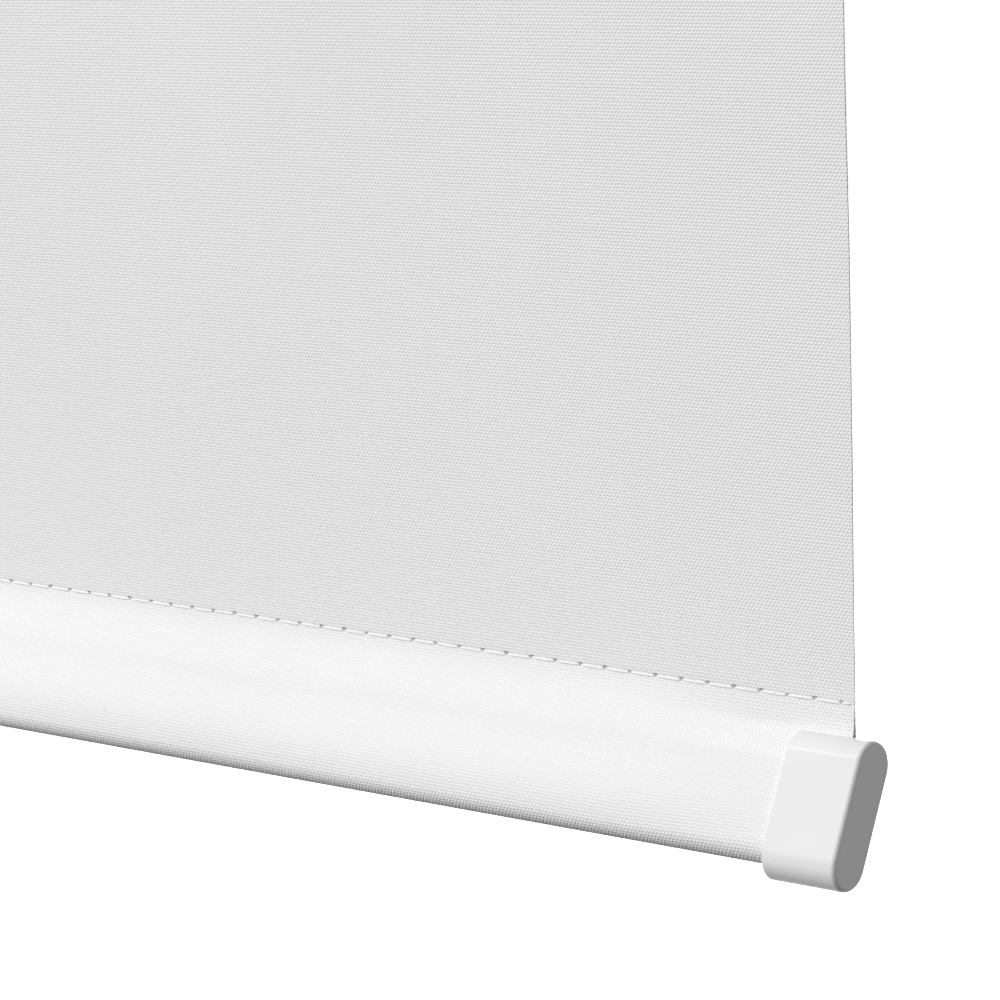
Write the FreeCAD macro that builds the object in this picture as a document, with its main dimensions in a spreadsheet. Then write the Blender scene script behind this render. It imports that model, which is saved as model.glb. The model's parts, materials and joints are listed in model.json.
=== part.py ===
"""Spring roller shade on two wall brackets, with a stitched hem bar and moulded oval hem caps.

Frame: +X to the right as seen from the room, +Y to the wall, +Z up. The origin lies on the wall,
at the centre of the four screw holes of the two brackets, straight behind the roller's axis.
The shade is drawn fully lowered, with both pawls swung clear of the ratchet hub.
All lengths are in millimetres and all angles in degrees.
"""
import FreeCAD, Part
import math
import os
import re
import Sketcher

Vector = FreeCAD.Vector
X_AXIS = Vector(1, 0, 0)

# Driving sizes: word, value, meaning
SIZES = (
    ("cloth_width", 610.0, "width of the cloth, a 24 inch shade"),
    ("cloth_thickness", 0.45, "coated plain-weave cloth"),
    ("bar_drop", 880.0, "roller axis down to the middle of the hem bar"),
    ("safety_wraps", 2.0, "turns of cloth left on the roller when it is down"),
    ("cloth_gap", 0.1, "air between the roller and what is wound on it"),
    ("cloth_parting", 0.3, "space between the hanging cloth and what it joins"),
    ("axis_out", 38.0, "wall to the roller axis"),
    ("tube_past_cloth", 6.0, "roller tube past each edge of the cloth"),
    ("tube_radius", 16.0, "outside of the roller tube"),
    ("tube_wall", 1.2, "wall of the roller tube"),
    ("groove_mouth", 2.4, "slit that the cloth enters by"),
    ("groove_width", 5.0, "inside of the cloth groove"),
    ("groove_depth", 2.6, "inside of the cloth groove, towards the axis"),
    ("spline_height", 2.0, "strip that locks the cloth in the groove"),
    ("press_gap", 0.15, "play between pieces pushed into each other"),
    ("run_gap", 0.06, "running fit of shafts, per side"),
    ("side_gap", 0.3, "end play between pieces that turn past each other"),
    ("flange_radius", 17.0, "flange of both end plugs"),
    ("flange_thickness", 2.0, "flange of both end plugs"),
    ("housing_length", 24.0, "left plug inside the tube"),
    ("housing_face", 6.0, "solid front of the left plug, behind its flange"),
    ("plug_wall", 1.8, "outer wall of the moulded plugs"),
    ("boss_radius", 7.4, "middle boss of the left plug"),
    ("rib_thickness", 1.4, "ribs between the boss and the wall"),
    ("rib_count", 4.0, "ribs of the left plug"),
    ("rib_setback", 1.0, "ribs end short of the plug's open end"),
    ("bush_wall", 1.1, "nylon bush on the spear"),
    ("bush_length", 12.0, "nylon bush on the spear"),
    ("spear_radius", 4.0, "round journal of the spear"),
    ("spear_length", 28.0, "journal inside the tube"),
    ("tang_thickness", 2.6, "flat end that sits in the left bracket"),
    ("tang_height", 7.0, "flat end that sits in the left bracket"),
    ("tang_reach", 2.6, "how far the flat end passes its bracket"),
    ("key_width", 6.4, "across the two flats that carry the ratchet hub"),
    ("hub_radius", 7.4, "ratchet hub"),
    ("hub_width", 2.5, "ratchet hub"),
    ("notch_depth", 2.2, "notches of the ratchet hub"),
    ("notch_stop_angle", 146.0, "locking face of the upper notch, turned from the +Y side"),
    ("notch_floor_span", 17.0, "floor of a notch"),
    ("notch_ramp_span", 20.0, "ramp by which a pawl rides out of a notch"),
    ("pawl_thickness", 2.0, "pawls"),
    ("pawl_orbit", 11.0, "roller axis to a pawl's pin"),
    ("pawl_eye_radius", 2.6, "round end of a pawl, about its pin"),
    ("pawl_swing", 20.0, "swing of a pawl between clear and locked"),
    ("pawl_tip_gap", 0.7, "locked pawl over the floor of its notch"),
    ("pawl_face_gap", 4.5, "angle between a locked pawl and the locking face"),
    ("pawl_tip_span", 8.5, "tip of a pawl, about the roller's axis"),
    ("pawl_neck_span", 22.0, "locking face to the waist of a pawl, about the roller's axis"),
    ("pawl_pin_radius", 1.25, "shank of a pawl's pin"),
    ("pawl_pin_grip", 4.5, "shank inside the plug"),
    ("pawl_head_radius", 2.2, "head of a pawl's pin"),
    ("pawl_head_thickness", 0.8, "head of a pawl's pin"),
    ("rod_radius", 2.8, "still rod down the middle of the spring"),
    ("rod_length", 206.0, "still rod"),
    ("rod_socket", 12.0, "rod inside the spear"),
    ("cross_pin_radius", 1.0, "pin through the spear and the rod"),
    ("anchor_radius", 6.5, "collar and nose that the spring grips"),
    ("anchor_length", 14.0, "collar that holds the spring's still end"),
    ("spring_wire", 1.5, "wire of the torsion spring"),
    ("spring_gap", 0.1, "spring round its collar and nose"),
    ("spring_length", 178.0, "torsion spring"),
    ("drive_nose", 14.0, "nose of the spring plug inside the spring"),
    ("drive_length", 16.0, "spring plug against the tube"),
    ("idler_length", 30.0, "right plug inside the tube"),
    ("idler_radius", 4.4, "body of the sprung pin"),
    ("idler_tip_radius", 2.9, "tip of the sprung pin"),
    ("idler_tip_reach", 2.6, "how far the tip passes its bracket"),
    ("idler_guide", 9.0, "length of plug that guides the sprung pin"),
    ("idler_collar_radius", 5.5, "collar that keeps the pin in its plug"),
    ("idler_collar_thickness", 2.0, "collar that keeps the pin in its plug"),
    ("idler_spring_wire", 0.8, "wire of the pin's spring"),
    ("seat_thickness", 1.6, "disc behind the pin's spring"),
    ("seat_spigot", 3.0, "spigot of that disc inside the spring"),
    ("ear_room", 6.4, "end of the tube to the inner face of a bracket"),
    ("bracket_thickness", 1.6, "bracket steel"),
    ("bracket_height", 44.0, "bracket foot on the wall"),
    ("bracket_foot", 24.0, "bracket foot, outwards from its ear"),
    ("bracket_bend", 1.6, "inside of the bend between foot and ear"),
    ("ear_nose_radius", 13.0, "rounded end of a bracket's ear"),
    ("ear_lip", 3.2, "stiffening lip along an ear, outwards"),
    ("screw_radius", 2.25, "screw holes"),
    ("screw_spacing", 26.0, "between the two holes of a bracket"),
    ("screw_out", 13.0, "ear's inner face to the line of its holes"),
    ("tang_gap", 0.2, "play of the flat end in its slot, per side"),
    ("tip_gap", 0.4, "play of the sprung tip in its hole, per side"),
    ("hem_tilt", 25.4, "lean of the hem bar, its top edge towards the wall"),
    ("bar_thickness", 5.4, "flat oval hem bar"),
    ("bar_height", 18.4, "flat oval hem bar"),
    ("bar_wall", 1.0, "wall of the hem bar"),
    ("bar_web", 1.2, "web across the middle of the hem bar"),
    ("hem_ease", 0.22, "cloth pocket round the bar"),
    ("seam_height", 16.95, "seam above the middle of the bar, along the bar's lean"),
    ("seam_forward", 2.3, "seam in front of the bar's middle, across its lean"),
    ("throat_height", 11.0, "where the cap draws the two layers together"),
    ("throat_run", 10.0, "length of hem over which the layers come together"),
    ("cap_length", 13.2, "oval hem cap"),
    ("cap_height", 24.0, "oval hem cap"),
    ("cap_wall", 1.2, "wall of the oval hem cap"),
    ("cap_end_wall", 1.5, "closed end of the oval hem cap"),
    ("cap_ease", 0.24, "cap round the cloth pocket"),
    ("cap_bevel", 1.0, "bevelled edge of the cap's closed end"),
    ("cap_past_cloth", 3.8, "how far a cap stands out past the cloth's edge"),
    ("cap_slot_width", 2.6, "slot in the top of a cap for the cloth"),
    ("prong_length", 9.0, "prongs of a cap inside the hem bar"),
    ("prong_height", 5.0, "prongs of a cap inside the hem bar"),
)
WORDS = {word for word, value, meaning in SIZES}

# Lengths that follow from the driving sizes
TUBE_END = "(cloth_width / 2 + tube_past_cloth)"
TUBE_LENGTH = "(cloth_width + 2 * tube_past_cloth)"
TUBE_BORE = "(tube_radius - tube_wall)"
GROOVE_FLOOR = "(tube_radius - tube_wall - groove_depth)"
BOSS_WIDTH = "(groove_width + 2 * tube_wall)"
BOSS_INNER = "(tube_radius - 2 * tube_wall - groove_depth)"
PLUG_RADIUS = "(tube_radius - tube_wall - press_gap)"
ROLL_CORE = "(tube_radius + cloth_gap)"
ROLL_RADIUS = "(tube_radius + cloth_gap + safety_wraps * cloth_thickness)"
CLOTH_FRONT = "(ROLL_RADIUS - cloth_thickness + cloth_gap)"
BUSH_BORE = "(spear_radius + run_gap)"
BUSH_OUTER = "(spear_radius + run_gap + bush_wall)"
HUB_OUTER = "(flange_thickness + side_gap + hub_width)"
PAWL_BORE = "(pawl_pin_radius + run_gap)"
SEAM_BEHIND = "(seam_height * sin(hem_tilt) - seam_forward * cos(hem_tilt))"
SEAM_ABOVE = "(seam_height * cos(hem_tilt) + seam_forward * sin(hem_tilt))"
BAR_Y = "(CLOTH_FRONT + cloth_thickness / 2 - axis_out - SEAM_BEHIND)"
BAR_HALF_STRAIGHT = "((bar_height - bar_thickness) / 2)"
POCKET_RADIUS = "(bar_thickness / 2 + hem_ease)"
SLEEVE_RADIUS = "(bar_thickness / 2 + hem_ease + cloth_thickness)"
CAP_BORE = "(SLEEVE_RADIUS + cap_ease)"
CAP_RADIUS = "(SLEEVE_RADIUS + cap_ease + cap_wall)"
CAP_END = "(cloth_width / 2 + cap_past_cloth)"
DERIVED = {
    word: text for word, text in list(globals().items()) if word.isupper() and isinstance(text, str)
}

doc = FreeCAD.newDocument("roller_shade")
sizes = doc.addObject("Spreadsheet::Sheet", "sizes")
for row, (word, value, meaning) in enumerate(SIZES, start=1):
    sizes.set(f"A{row}", word)
    sizes.set(f"B{row}", str(value))
    sizes.set(f"C{row}", meaning)
    sizes.setAlias(f"B{row}", word)
doc.recompute()


def bound(expression):
    """The expression with derived words written out and every size taken from the sheet."""
    text = str(expression)
    while re.search(r"\b[A-Z][A-Z_]+\b", text):
        text = re.sub(r"\b[A-Z][A-Z_]+\b", lambda found: DERIVED[found.group()], text)
    return re.sub(r"\b[a-z][a-z_]+\b", lambda f: "sizes." + f.group() if f.group() in WORDS else f.group(), text)


def number(expression):
    """The present value of an expression."""
    value = sizes.evalExpression(bound(expression))
    return float(getattr(value, "Value", value))


def new_body(name):
    body = doc.addObject("PartDesign::Body", name)
    body.Label = name
    return body


def seat(body, x="0", y="0", z="0", turn="0"):
    """Places a body, turned about the X axis."""
    body.setExpression(
        "Placement",
        bound(f"placement(vector({x}; {y}; {z}); rotation(vector(1; 0; 0); {turn}))"),
    )
    return body


def seat_on_roller(body, end):
    """Places a body on the roller's axis, at the left (-1) or right (1) end of the tube."""
    return seat(body, x=f"{end} * {TUBE_END}", y="-axis_out")


def seat_on_hem(body):
    """Places a body on the hem bar's middle, leaning with it."""
    return seat(body, y="BAR_Y", z="-bar_drop", turn="-hem_tilt")


def sketch_on(body, role, name, offset="0"):
    """A sketch on one of the body's own origin planes, moved along its normal."""
    plane = next(item for item in body.Origin.OriginFeatures if item.Role == role)
    sketch = body.newObject("Sketcher::SketchObject", name)
    sketch.AttachmentSupport = [(plane, "")]
    sketch.MapMode = "FlatFace"
    sketch.setExpression("AttachmentOffset.Base.z", bound(offset))
    return sketch


def fix(sketch, kind, expression, *where):
    """A sketch constraint whose value is bound to the sheet."""
    index = sketch.addConstraint(Sketcher.Constraint(kind, *where, number(expression)))
    name = f"{kind.lower()}_{index}"
    sketch.renameConstraint(index, name)
    sketch.setExpression(f"Constraints.{name}", bound(expression))


def fix_point(sketch, geometry, end, x, y):
    fix(sketch, "DistanceX", x, -1, 1, geometry, end)
    fix(sketch, "DistanceY", y, -1, 1, geometry, end)


def circle(sketch, radius, x="0", y="0"):
    centre = Vector(number(x), number(y), 0)
    index = sketch.addGeometry(Part.Circle(centre, Vector(0, 0, 1), number(radius)))
    fix(sketch, "Radius", radius, index)
    if x == "0" and y == "0":
        sketch.addConstraint(Sketcher.Constraint("Coincident", index, 3, -1, 1))
    else:
        fix_point(sketch, index, 3, x, y)


def outline(sketch, *corners):
    """Closed outline. A corner (x, y) ends a straight edge, and a corner (x, y, cx, cy, turn)
    ends an arc about (cx, cy), with turn 1 anticlockwise and -1 clockwise."""
    points = [Vector(number(corner[0]), number(corner[1]), 0) for corner in corners]
    first_end, last_end, edges = [], [], []
    for index, corner in enumerate(corners):
        begin, finish = points[index - 1], points[index]
        if len(corner) == 2:
            edge = Part.LineSegment(begin, finish)
            turn = 1
        else:
            centre = Vector(number(corner[2]), number(corner[3]), 0)
            turn = corner[4]
            low, high = (begin, finish) if turn > 0 else (finish, begin)
            edge = Part.ArcOfCircle(
                Part.Circle(centre, Vector(0, 0, 1), (begin - centre).Length),
                math.atan2(low.y - centre.y, low.x - centre.x),
                math.atan2(high.y - centre.y, high.x - centre.x),
            )
        edges.append(sketch.addGeometry(edge))
        first_end.append(1 if turn > 0 else 2)
        last_end.append(2 if turn > 0 else 1)
    for index, corner in enumerate(corners):
        following = (index + 1) % len(corners)
        sketch.addConstraint(
            Sketcher.Constraint("Coincident", edges[index], last_end[index], edges[following], first_end[following])
        )
        if len(corner) == 2:
            fix_point(sketch, edges[following], first_end[following], corner[0], corner[1])
            continue
        fix_point(sketch, edges[index], 3, corner[2], corner[3])
        arm = points[index] - Vector(number(corner[2]), number(corner[3]), 0)
        kind, value = ("DistanceX", corner[0]) if abs(arm.y) > abs(arm.x) else ("DistanceY", corner[1])
        fix(sketch, kind, value, -1, 1, edges[following], first_end[following])


def rectangle(sketch, x_low, x_high, y_low, y_high):
    outline(sketch, (x_low, y_low), (x_high, y_low), (x_high, y_high), (x_low, y_high))


def stadium(sketch, radius, half_straight):
    """Upright slot shape: two half circles joined by straight sides."""
    outline(
        sketch,
        (f"-{radius}", f"-{half_straight}"),
        (radius, f"-{half_straight}", "0", f"-{half_straight}", 1),
        (radius, half_straight),
        (f"-{radius}", half_straight, "0", half_straight, 1),
    )


def pad(body, sketch, length, back=False):
    """Adds the sketch's area along its normal, or against it with back."""
    feature = body.newObject("PartDesign::Pad", sketch.Name + "_pad")
    feature.Profile = sketch
    feature.setExpression("Length", bound(length))
    feature.Reversed = back
    doc.recompute()
    return feature


def cut(body, sketch, length, back=False):
    """Removes the sketch's area along its normal, or against it with back."""
    before = body.Shape.Volume
    feature = body.newObject("PartDesign::Pocket", sketch.Name + "_cut")
    feature.Profile = sketch
    feature.setExpression("Length", bound(length))
    feature.Reversed = not back
    doc.recompute()
    if not body.Shape.Volume < before:
        raise RuntimeError(f"{feature.Name} removes nothing")
    return feature


def repeat_round(body, feature, count):
    """Repeats a feature evenly about the body's X axis."""
    pattern = body.newObject("PartDesign::PolarPattern", feature.Name + "_round")
    pattern.Originals = [feature]
    axis = next(item for item in body.Origin.OriginFeatures if item.Role == "X_Axis")
    pattern.Axis = (axis, [""])
    pattern.setExpression("Occurrences", bound(count))
    body.Tip = pattern
    doc.recompute()
    return pattern


def dress_edges(body, kind, property_name, amount, test):
    """Rounds or bevels the edges of the body's present tip that pass the test."""
    tip = body.Tip
    names = [f"Edge{i}" for i, edge in enumerate(tip.Shape.Edges, start=1) if test(edge)]
    if not names:
        raise RuntimeError(f"no edge to dress on {body.Name}")
    feature = body.newObject(kind, body.Name + "_edges")
    feature.Base = (tip, names)
    feature.setExpression(property_name, bound(amount))
    doc.recompute()
    return feature


def round_edges(body, radius, test):
    return dress_edges(body, "PartDesign::Fillet", "Radius", radius, test)


def bevel_edges(body, width, test):
    return dress_edges(body, "PartDesign::Chamfer", "Size", width, test)


def lies_at(edge, axis, value):
    """True if the whole edge lies at that value of x, y or z."""
    box = edge.BoundBox
    low, high = getattr(box, axis + "Min"), getattr(box, axis + "Max")
    return abs(low - value) < 1e-3 and abs(high - value) < 1e-3


def polar(radius, angle):
    """The two expressions of a point at a radius and angle about the roller's axis."""
    return f"{radius} * cos({angle})", f"{radius} * sin({angle})"


def feature_from_shape(name, shape, placement):
    """A document object for a shape built from the sheet's sizes."""
    item = doc.addObject("Part::Feature", name)
    item.Label = name
    item.Shape = shape
    item.Placement = placement
    return item


def key_notch(body, length, inner="0"):
    """Cuts the way for the tube's groove out of a plug, from the tube's end inwards."""
    sketch = sketch_on(body, "YZ_Plane", body.Name + "_key", inner)
    half = f"({BOSS_WIDTH} / 2 + press_gap)"
    rectangle(sketch, "-tube_radius", f"-({BOSS_INNER} - press_gap)", f"-{half}", half)
    return cut(body, sketch, length)


# Brackets


def bracket(side, name):
    """Stamped wall bracket: foot on the wall, ear with stiffening lips. side is -1 left, 1 right."""
    body = new_body(name)
    seat(body, x=f"{side} * ({TUBE_END} + ear_room)")
    back = side < 0
    foot = sketch_on(body, "XZ_Plane", name + "_foot")
    near, far = ("0", "bracket_foot") if side > 0 else ("-bracket_foot", "0")
    rectangle(foot, near, far, "-bracket_height / 2", "bracket_height / 2")
    pad(body, foot, "bracket_thickness")
    ear = sketch_on(body, "YZ_Plane", name + "_ear")
    shoulder = "(axis_out - ear_nose_radius) / 2"
    rise = "(bracket_height / 2)"
    lean = f"(atan2({rise}; axis_out - {shoulder}) + acos(ear_nose_radius / sqrt({rise}^2 + (axis_out - {shoulder})^2)))"
    nose_y, nose_z = f"-axis_out + ear_nose_radius * cos({lean})", f"ear_nose_radius * sin({lean})"
    outline(
        ear,
        ("0", f"-{rise}"),
        ("0", rise),
        (f"-{shoulder}", rise),
        (nose_y, nose_z),
        (nose_y, f"-({nose_z})", "-axis_out", "0", 1),
        (f"-{shoulder}", f"-{rise}"),
    )
    pad(body, ear, "bracket_thickness", back)
    lip = sketch_on(body, "YZ_Plane", name + "_lip")
    inner = f"({rise} - bracket_thickness)"
    rectangle(lip, f"-{shoulder}", "-bracket_thickness", inner, rise)
    rectangle(lip, f"-{shoulder}", "-bracket_thickness", f"-{rise}", f"-{inner}")
    pad(body, lip, "bracket_thickness + ear_lip", back)
    return body


def finish_bracket(body, side):
    """Screw holes in the foot and the rounded bend to the ear."""
    name = body.Name
    holes = sketch_on(body, "XZ_Plane", name + "_holes")
    for up in ("", "-"):
        circle(holes, "screw_radius", f"{side} * screw_out", f"{up}screw_spacing / 2")
    cut(body, holes, "bracket_thickness")
    inner_x = side * number("bracket_thickness")
    inner_y = -number("bracket_thickness")
    round_edges(
        body,
        "bracket_bend",
        lambda edge: lies_at(edge, "X", inner_x) and lies_at(edge, "Y", inner_y) and edge.Length > 20,
    )
    return body


def make_bracket_left():
    """The left ear has an upright slot, open at the top, for the spear's flat end."""
    body = bracket(-1, "bracket_left")
    slot = sketch_on(body, "YZ_Plane", "tang_slot")
    half = "(tang_thickness / 2 + tang_gap)"
    bottom = "-(tang_height / 2 + tang_gap)"
    rectangle(slot, f"-axis_out - {half}", f"-axis_out + {half}", bottom, "bracket_height / 2")
    cut(body, slot, "bracket_thickness + ear_lip", back=True)
    return finish_bracket(body, -1)


def make_bracket_right():
    """The right ear has a round hole for the sprung pin."""
    body = bracket(1, "bracket_right")
    hole = sketch_on(body, "YZ_Plane", "tip_hole")
    circle(hole, "idler_tip_radius + tip_gap", "-axis_out", "0")
    cut(body, hole, "bracket_thickness")
    return finish_bracket(body, 1)


# Roller


def make_roller_tube():
    """Extruded tube whose groove stands inwards, where it also keys the plugs."""
    body = seat_on_roller(new_body("roller_tube"), -1)
    ring = sketch_on(body, "YZ_Plane", "tube_ring")
    circle(ring, "tube_radius")
    circle(ring, TUBE_BORE)
    pad(body, ring, TUBE_LENGTH)
    boss = sketch_on(body, "YZ_Plane", "tube_boss")
    half = f"({BOSS_WIDTH} / 2)"
    rectangle(boss, f"-({TUBE_BORE} + tube_wall / 2)", f"-{BOSS_INNER}", f"-{half}", half)
    pad(body, boss, TUBE_LENGTH)
    groove = sketch_on(body, "YZ_Plane", "tube_groove")
    outline(
        groove,
        ("-tube_radius - 1", "-groove_mouth / 2"),
        (f"-{TUBE_BORE}", "-groove_mouth / 2"),
        (f"-{TUBE_BORE}", "-groove_width / 2"),
        (f"-{GROOVE_FLOOR}", "-groove_width / 2"),
        (f"-{GROOVE_FLOOR}", "groove_width / 2"),
        (f"-{TUBE_BORE}", "groove_width / 2"),
        (f"-{TUBE_BORE}", "groove_mouth / 2"),
        ("-tube_radius - 1", "groove_mouth / 2"),
    )
    cut(body, groove, TUBE_LENGTH)
    return body


def make_cloth_spline():
    """Flat strip that locks the cloth's edge in the tube's groove."""
    body = new_body("cloth_spline")
    seat(body, x="-cloth_width / 2", y="-axis_out")
    strip = sketch_on(body, "YZ_Plane", "spline_strip")
    half = "(groove_width / 2 - press_gap)"
    low = f"-({TUBE_BORE} - press_gap)"
    rectangle(strip, low, f"{low} + spline_height", f"-{half}", half)
    pad(body, strip, "cloth_width")
    return body


def make_fabric_roll():
    """Cloth left on the roller: a spiral of two half circles per turn, with its step at the back."""
    body = new_body("fabric_roll")
    seat(body, x="-cloth_width / 2", y="-axis_out")
    wound = sketch_on(body, "YZ_Plane", "wound_cloth")
    quarter = "cloth_thickness / 4"
    outline(
        wound,
        (ROLL_RADIUS, "0"),
        (f"-({ROLL_RADIUS} - cloth_thickness / 2)", "0", quarter, "0", 1),
        (f"{ROLL_RADIUS} - cloth_thickness", "0", f"-{quarter}", "0", 1),
    )
    circle(wound, ROLL_CORE)
    pad(body, wound, "cloth_width")
    return body


def plug_blank(name, end, length):
    """Flanged plug, drawn from the tube's end with its flange outside. end is -1 left, 1 right."""
    body = seat_on_roller(new_body(name), end)
    inward = end > 0
    flange = sketch_on(body, "YZ_Plane", name + "_flange")
    circle(flange, "flange_radius")
    pad(body, flange, "flange_thickness", back=end < 0)
    barrel = sketch_on(body, "YZ_Plane", name + "_barrel")
    circle(barrel, PLUG_RADIUS)
    pad(body, barrel, length, back=inward)
    return body


def hollow_housing(body):
    """Hollows the left plug between its middle boss and its wall, and adds ribs back in between."""
    ring = sketch_on(body, "YZ_Plane", "housing_hollow", "housing_face")
    circle(ring, f"{PLUG_RADIUS} - plug_wall")
    circle(ring, "boss_radius")
    cut(body, ring, "housing_length - housing_face")
    rib = sketch_on(body, "YZ_Plane", "housing_rib", "housing_face")
    rib.setExpression("AttachmentOffset.Rotation.Angle", bound("180 / rib_count"))
    half, inner = "(rib_thickness / 2)", "(boss_radius - rib_thickness / 2)"
    rectangle(rib, f"-{half}", half, inner, f"{PLUG_RADIUS} - plug_wall / 2")
    first = pad(body, rib, "housing_length - housing_face - rib_setback")
    repeat_round(body, first, "rib_count")


def make_end_housing():
    """Left plug: runs on the spear in a bush, and its face carries the two pawls."""
    body = plug_blank("end_housing", -1, "housing_length")
    hollow_housing(body)
    bore = sketch_on(body, "YZ_Plane", "housing_bore", "-flange_thickness")
    circle(bore, f"{BUSH_OUTER} + press_gap / 3")
    cut(body, bore, "flange_thickness + housing_length")
    pins = sketch_on(body, "YZ_Plane", "housing_pins", "-flange_thickness")
    for up in ("", "-"):
        circle(pins, "pawl_pin_radius + press_gap / 3", "0", f"{up}pawl_orbit")
    cut(body, pins, "pawl_pin_grip + side_gap")
    key_notch(body, "housing_length")
    return body


def make_housing_bush():
    """Nylon bush, flush with the plug's face, that turns on the spear."""
    body = seat_on_roller(new_body("housing_bush"), -1)
    ring = sketch_on(body, "YZ_Plane", "bush_ring", "-flange_thickness + side_gap")
    circle(ring, BUSH_OUTER)
    circle(ring, BUSH_BORE)
    pad(body, ring, "bush_length")
    return body


def make_pawl_pins():
    """Two headed pins, driven into the plug's face, that the pawls swing on."""
    body = seat_on_roller(new_body("pawl_pins"), -1)
    head_face = "(flange_thickness + side_gap + pawl_thickness + side_gap)"
    shank = sketch_on(body, "YZ_Plane", "pin_shanks", f"-{head_face}")
    head = sketch_on(body, "YZ_Plane", "pin_heads", f"-{head_face}")
    for up in ("", "-"):
        circle(shank, "pawl_pin_radius", "0", f"{up}pawl_orbit")
        circle(head, "pawl_head_radius", "0", f"{up}pawl_orbit")
    body.AllowCompound = True
    pad(body, shank, f"{head_face} - flange_thickness + pawl_pin_grip")
    pad(body, head, "pawl_head_thickness", back=True)
    return body


def make_spear():
    """Still shaft: flat end for the bracket, two flats for the hub, round journal, socket for the rod."""
    body = seat_on_roller(new_body("spear"), -1)
    journal = sketch_on(body, "YZ_Plane", "spear_journal", f"-{HUB_OUTER}")
    circle(journal, "spear_radius")
    pad(body, journal, f"{HUB_OUTER} + spear_length")
    tang = sketch_on(body, "YZ_Plane", "spear_tang", f"-{HUB_OUTER}")
    rectangle(tang, "-tang_thickness / 2", "tang_thickness / 2", "-tang_height / 2", "tang_height / 2")
    pad(body, tang, f"ear_room + bracket_thickness + tang_reach - {HUB_OUTER}", back=True)
    flats = sketch_on(body, "YZ_Plane", "spear_flats", f"-{HUB_OUTER}")
    rectangle(flats, "key_width / 2", "spear_radius + 1", "-spear_radius", "spear_radius")
    rectangle(flats, "-spear_radius - 1", "-key_width / 2", "-spear_radius", "spear_radius")
    cut(body, flats, "hub_width")
    socket = sketch_on(body, "YZ_Plane", "rod_socket", "spear_length - rod_socket")
    circle(socket, "rod_radius + press_gap / 3")
    cut(body, socket, "rod_socket")
    pin_way = sketch_on(body, "XY_Plane", "pin_way", "-spear_radius")
    circle(pin_way, "cross_pin_radius + press_gap / 3", "spear_length - rod_socket / 2", "0")
    cut(body, pin_way, "2 * spear_radius")
    return body


def make_ratchet_hub():
    """Still hub with two opposite notches, each with a locking face and a ramp."""
    body = seat_on_roller(new_body("ratchet_hub"), -1)
    disc = sketch_on(body, "YZ_Plane", "hub_disc", f"-{HUB_OUTER}")
    circle(disc, "hub_radius")
    half = "(key_width / 2 + press_gap / 3)"
    bore = "(spear_radius + press_gap / 3)"
    rise = f"sqrt({bore}^2 - {half}^2)"
    outline(
        disc,
        (half, f"-{rise}", "0", "0", 1),
        (half, rise),
        (f"-{half}", rise, "0", "0", 1),
        (f"-{half}", f"-{rise}"),
    )
    pad(body, disc, "hub_width")
    notch = sketch_on(body, "YZ_Plane", "hub_notch", f"-{HUB_OUTER}")
    floor = "(hub_radius - notch_depth)"
    floor_start = "(notch_stop_angle - notch_floor_span)"
    ramp_start = "(notch_stop_angle - notch_floor_span - notch_ramp_span)"
    outline(
        notch,
        polar("(hub_radius + 1)", ramp_start),
        polar("hub_radius", ramp_start),
        polar(floor, floor_start),
        (*polar(floor, "notch_stop_angle"), "0", "0", 1),
        polar("(hub_radius + 1)", "notch_stop_angle"),
    )
    first = cut(body, notch, "hub_width")
    repeat_round(body, first, "2")
    return body


def make_pawl(name, half_turn):
    """Pawl, drawn locked with its pin at the origin, then swung clear by its full swing."""
    body = new_body(name)
    up = "-1" if half_turn else "1"
    seat(
        body,
        x=f"-{TUBE_END}",
        y="-axis_out",
        z=f"{up} * pawl_orbit",
        turn="180 - pawl_swing" if half_turn else "-pawl_swing",
    )
    blade = sketch_on(body, "YZ_Plane", name + "_blade", "-(flange_thickness + side_gap + pawl_thickness)")
    tip_radius = "(hub_radius - notch_depth + pawl_tip_gap)"
    waist = "(hub_radius + 1)"
    back = "(pawl_orbit - pawl_eye_radius / 2)"

    def about_pin(radius, angle):
        y, z = polar(radius, angle)
        return y, f"{z} - pawl_orbit"

    tip_front = "(notch_stop_angle - pawl_face_gap)"
    tip_back = "(notch_stop_angle - pawl_face_gap - pawl_tip_span)"
    outline(
        blade,
        about_pin(tip_radius, tip_front),
        about_pin(waist, tip_front),
        about_pin(back, tip_front),
        ("-pawl_eye_radius * cos(40)", "pawl_eye_radius * sin(40)"),
        ("0", "-pawl_eye_radius", "0", "0", -1),
        (*about_pin(waist, "(notch_stop_angle - pawl_neck_span)"), "0", "-pawl_orbit", 1),
        about_pin(tip_radius, tip_back),
    )
    circle(blade, PAWL_BORE)
    pad(body, blade, "pawl_thickness")
    return body


# Winding spring


def make_arbor_rod():
    """Still rod from the spear to the spring plug, drilled for its cross pin."""
    body = seat_on_roller(new_body("arbor_rod"), -1)
    rod = sketch_on(body, "YZ_Plane", "rod_round", "spear_length - rod_socket + side_gap")
    circle(rod, "rod_radius")
    pad(body, rod, "rod_length")
    pin_way = sketch_on(body, "XY_Plane", "rod_pin_way", "-rod_radius")
    circle(pin_way, "cross_pin_radius + press_gap / 3", "spear_length - rod_socket / 2", "0")
    cut(body, pin_way, "2 * rod_radius")
    return body


def make_rod_pin():
    """Cross pin through the spear and the rod."""
    body = seat_on_roller(new_body("rod_pin"), -1)
    pin = sketch_on(body, "XY_Plane", "cross_pin", "-(spear_radius - press_gap)")
    circle(pin, "cross_pin_radius", "spear_length - rod_socket / 2", "0")
    pad(body, pin, "2 * (spear_radius - press_gap)")
    return body


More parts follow.
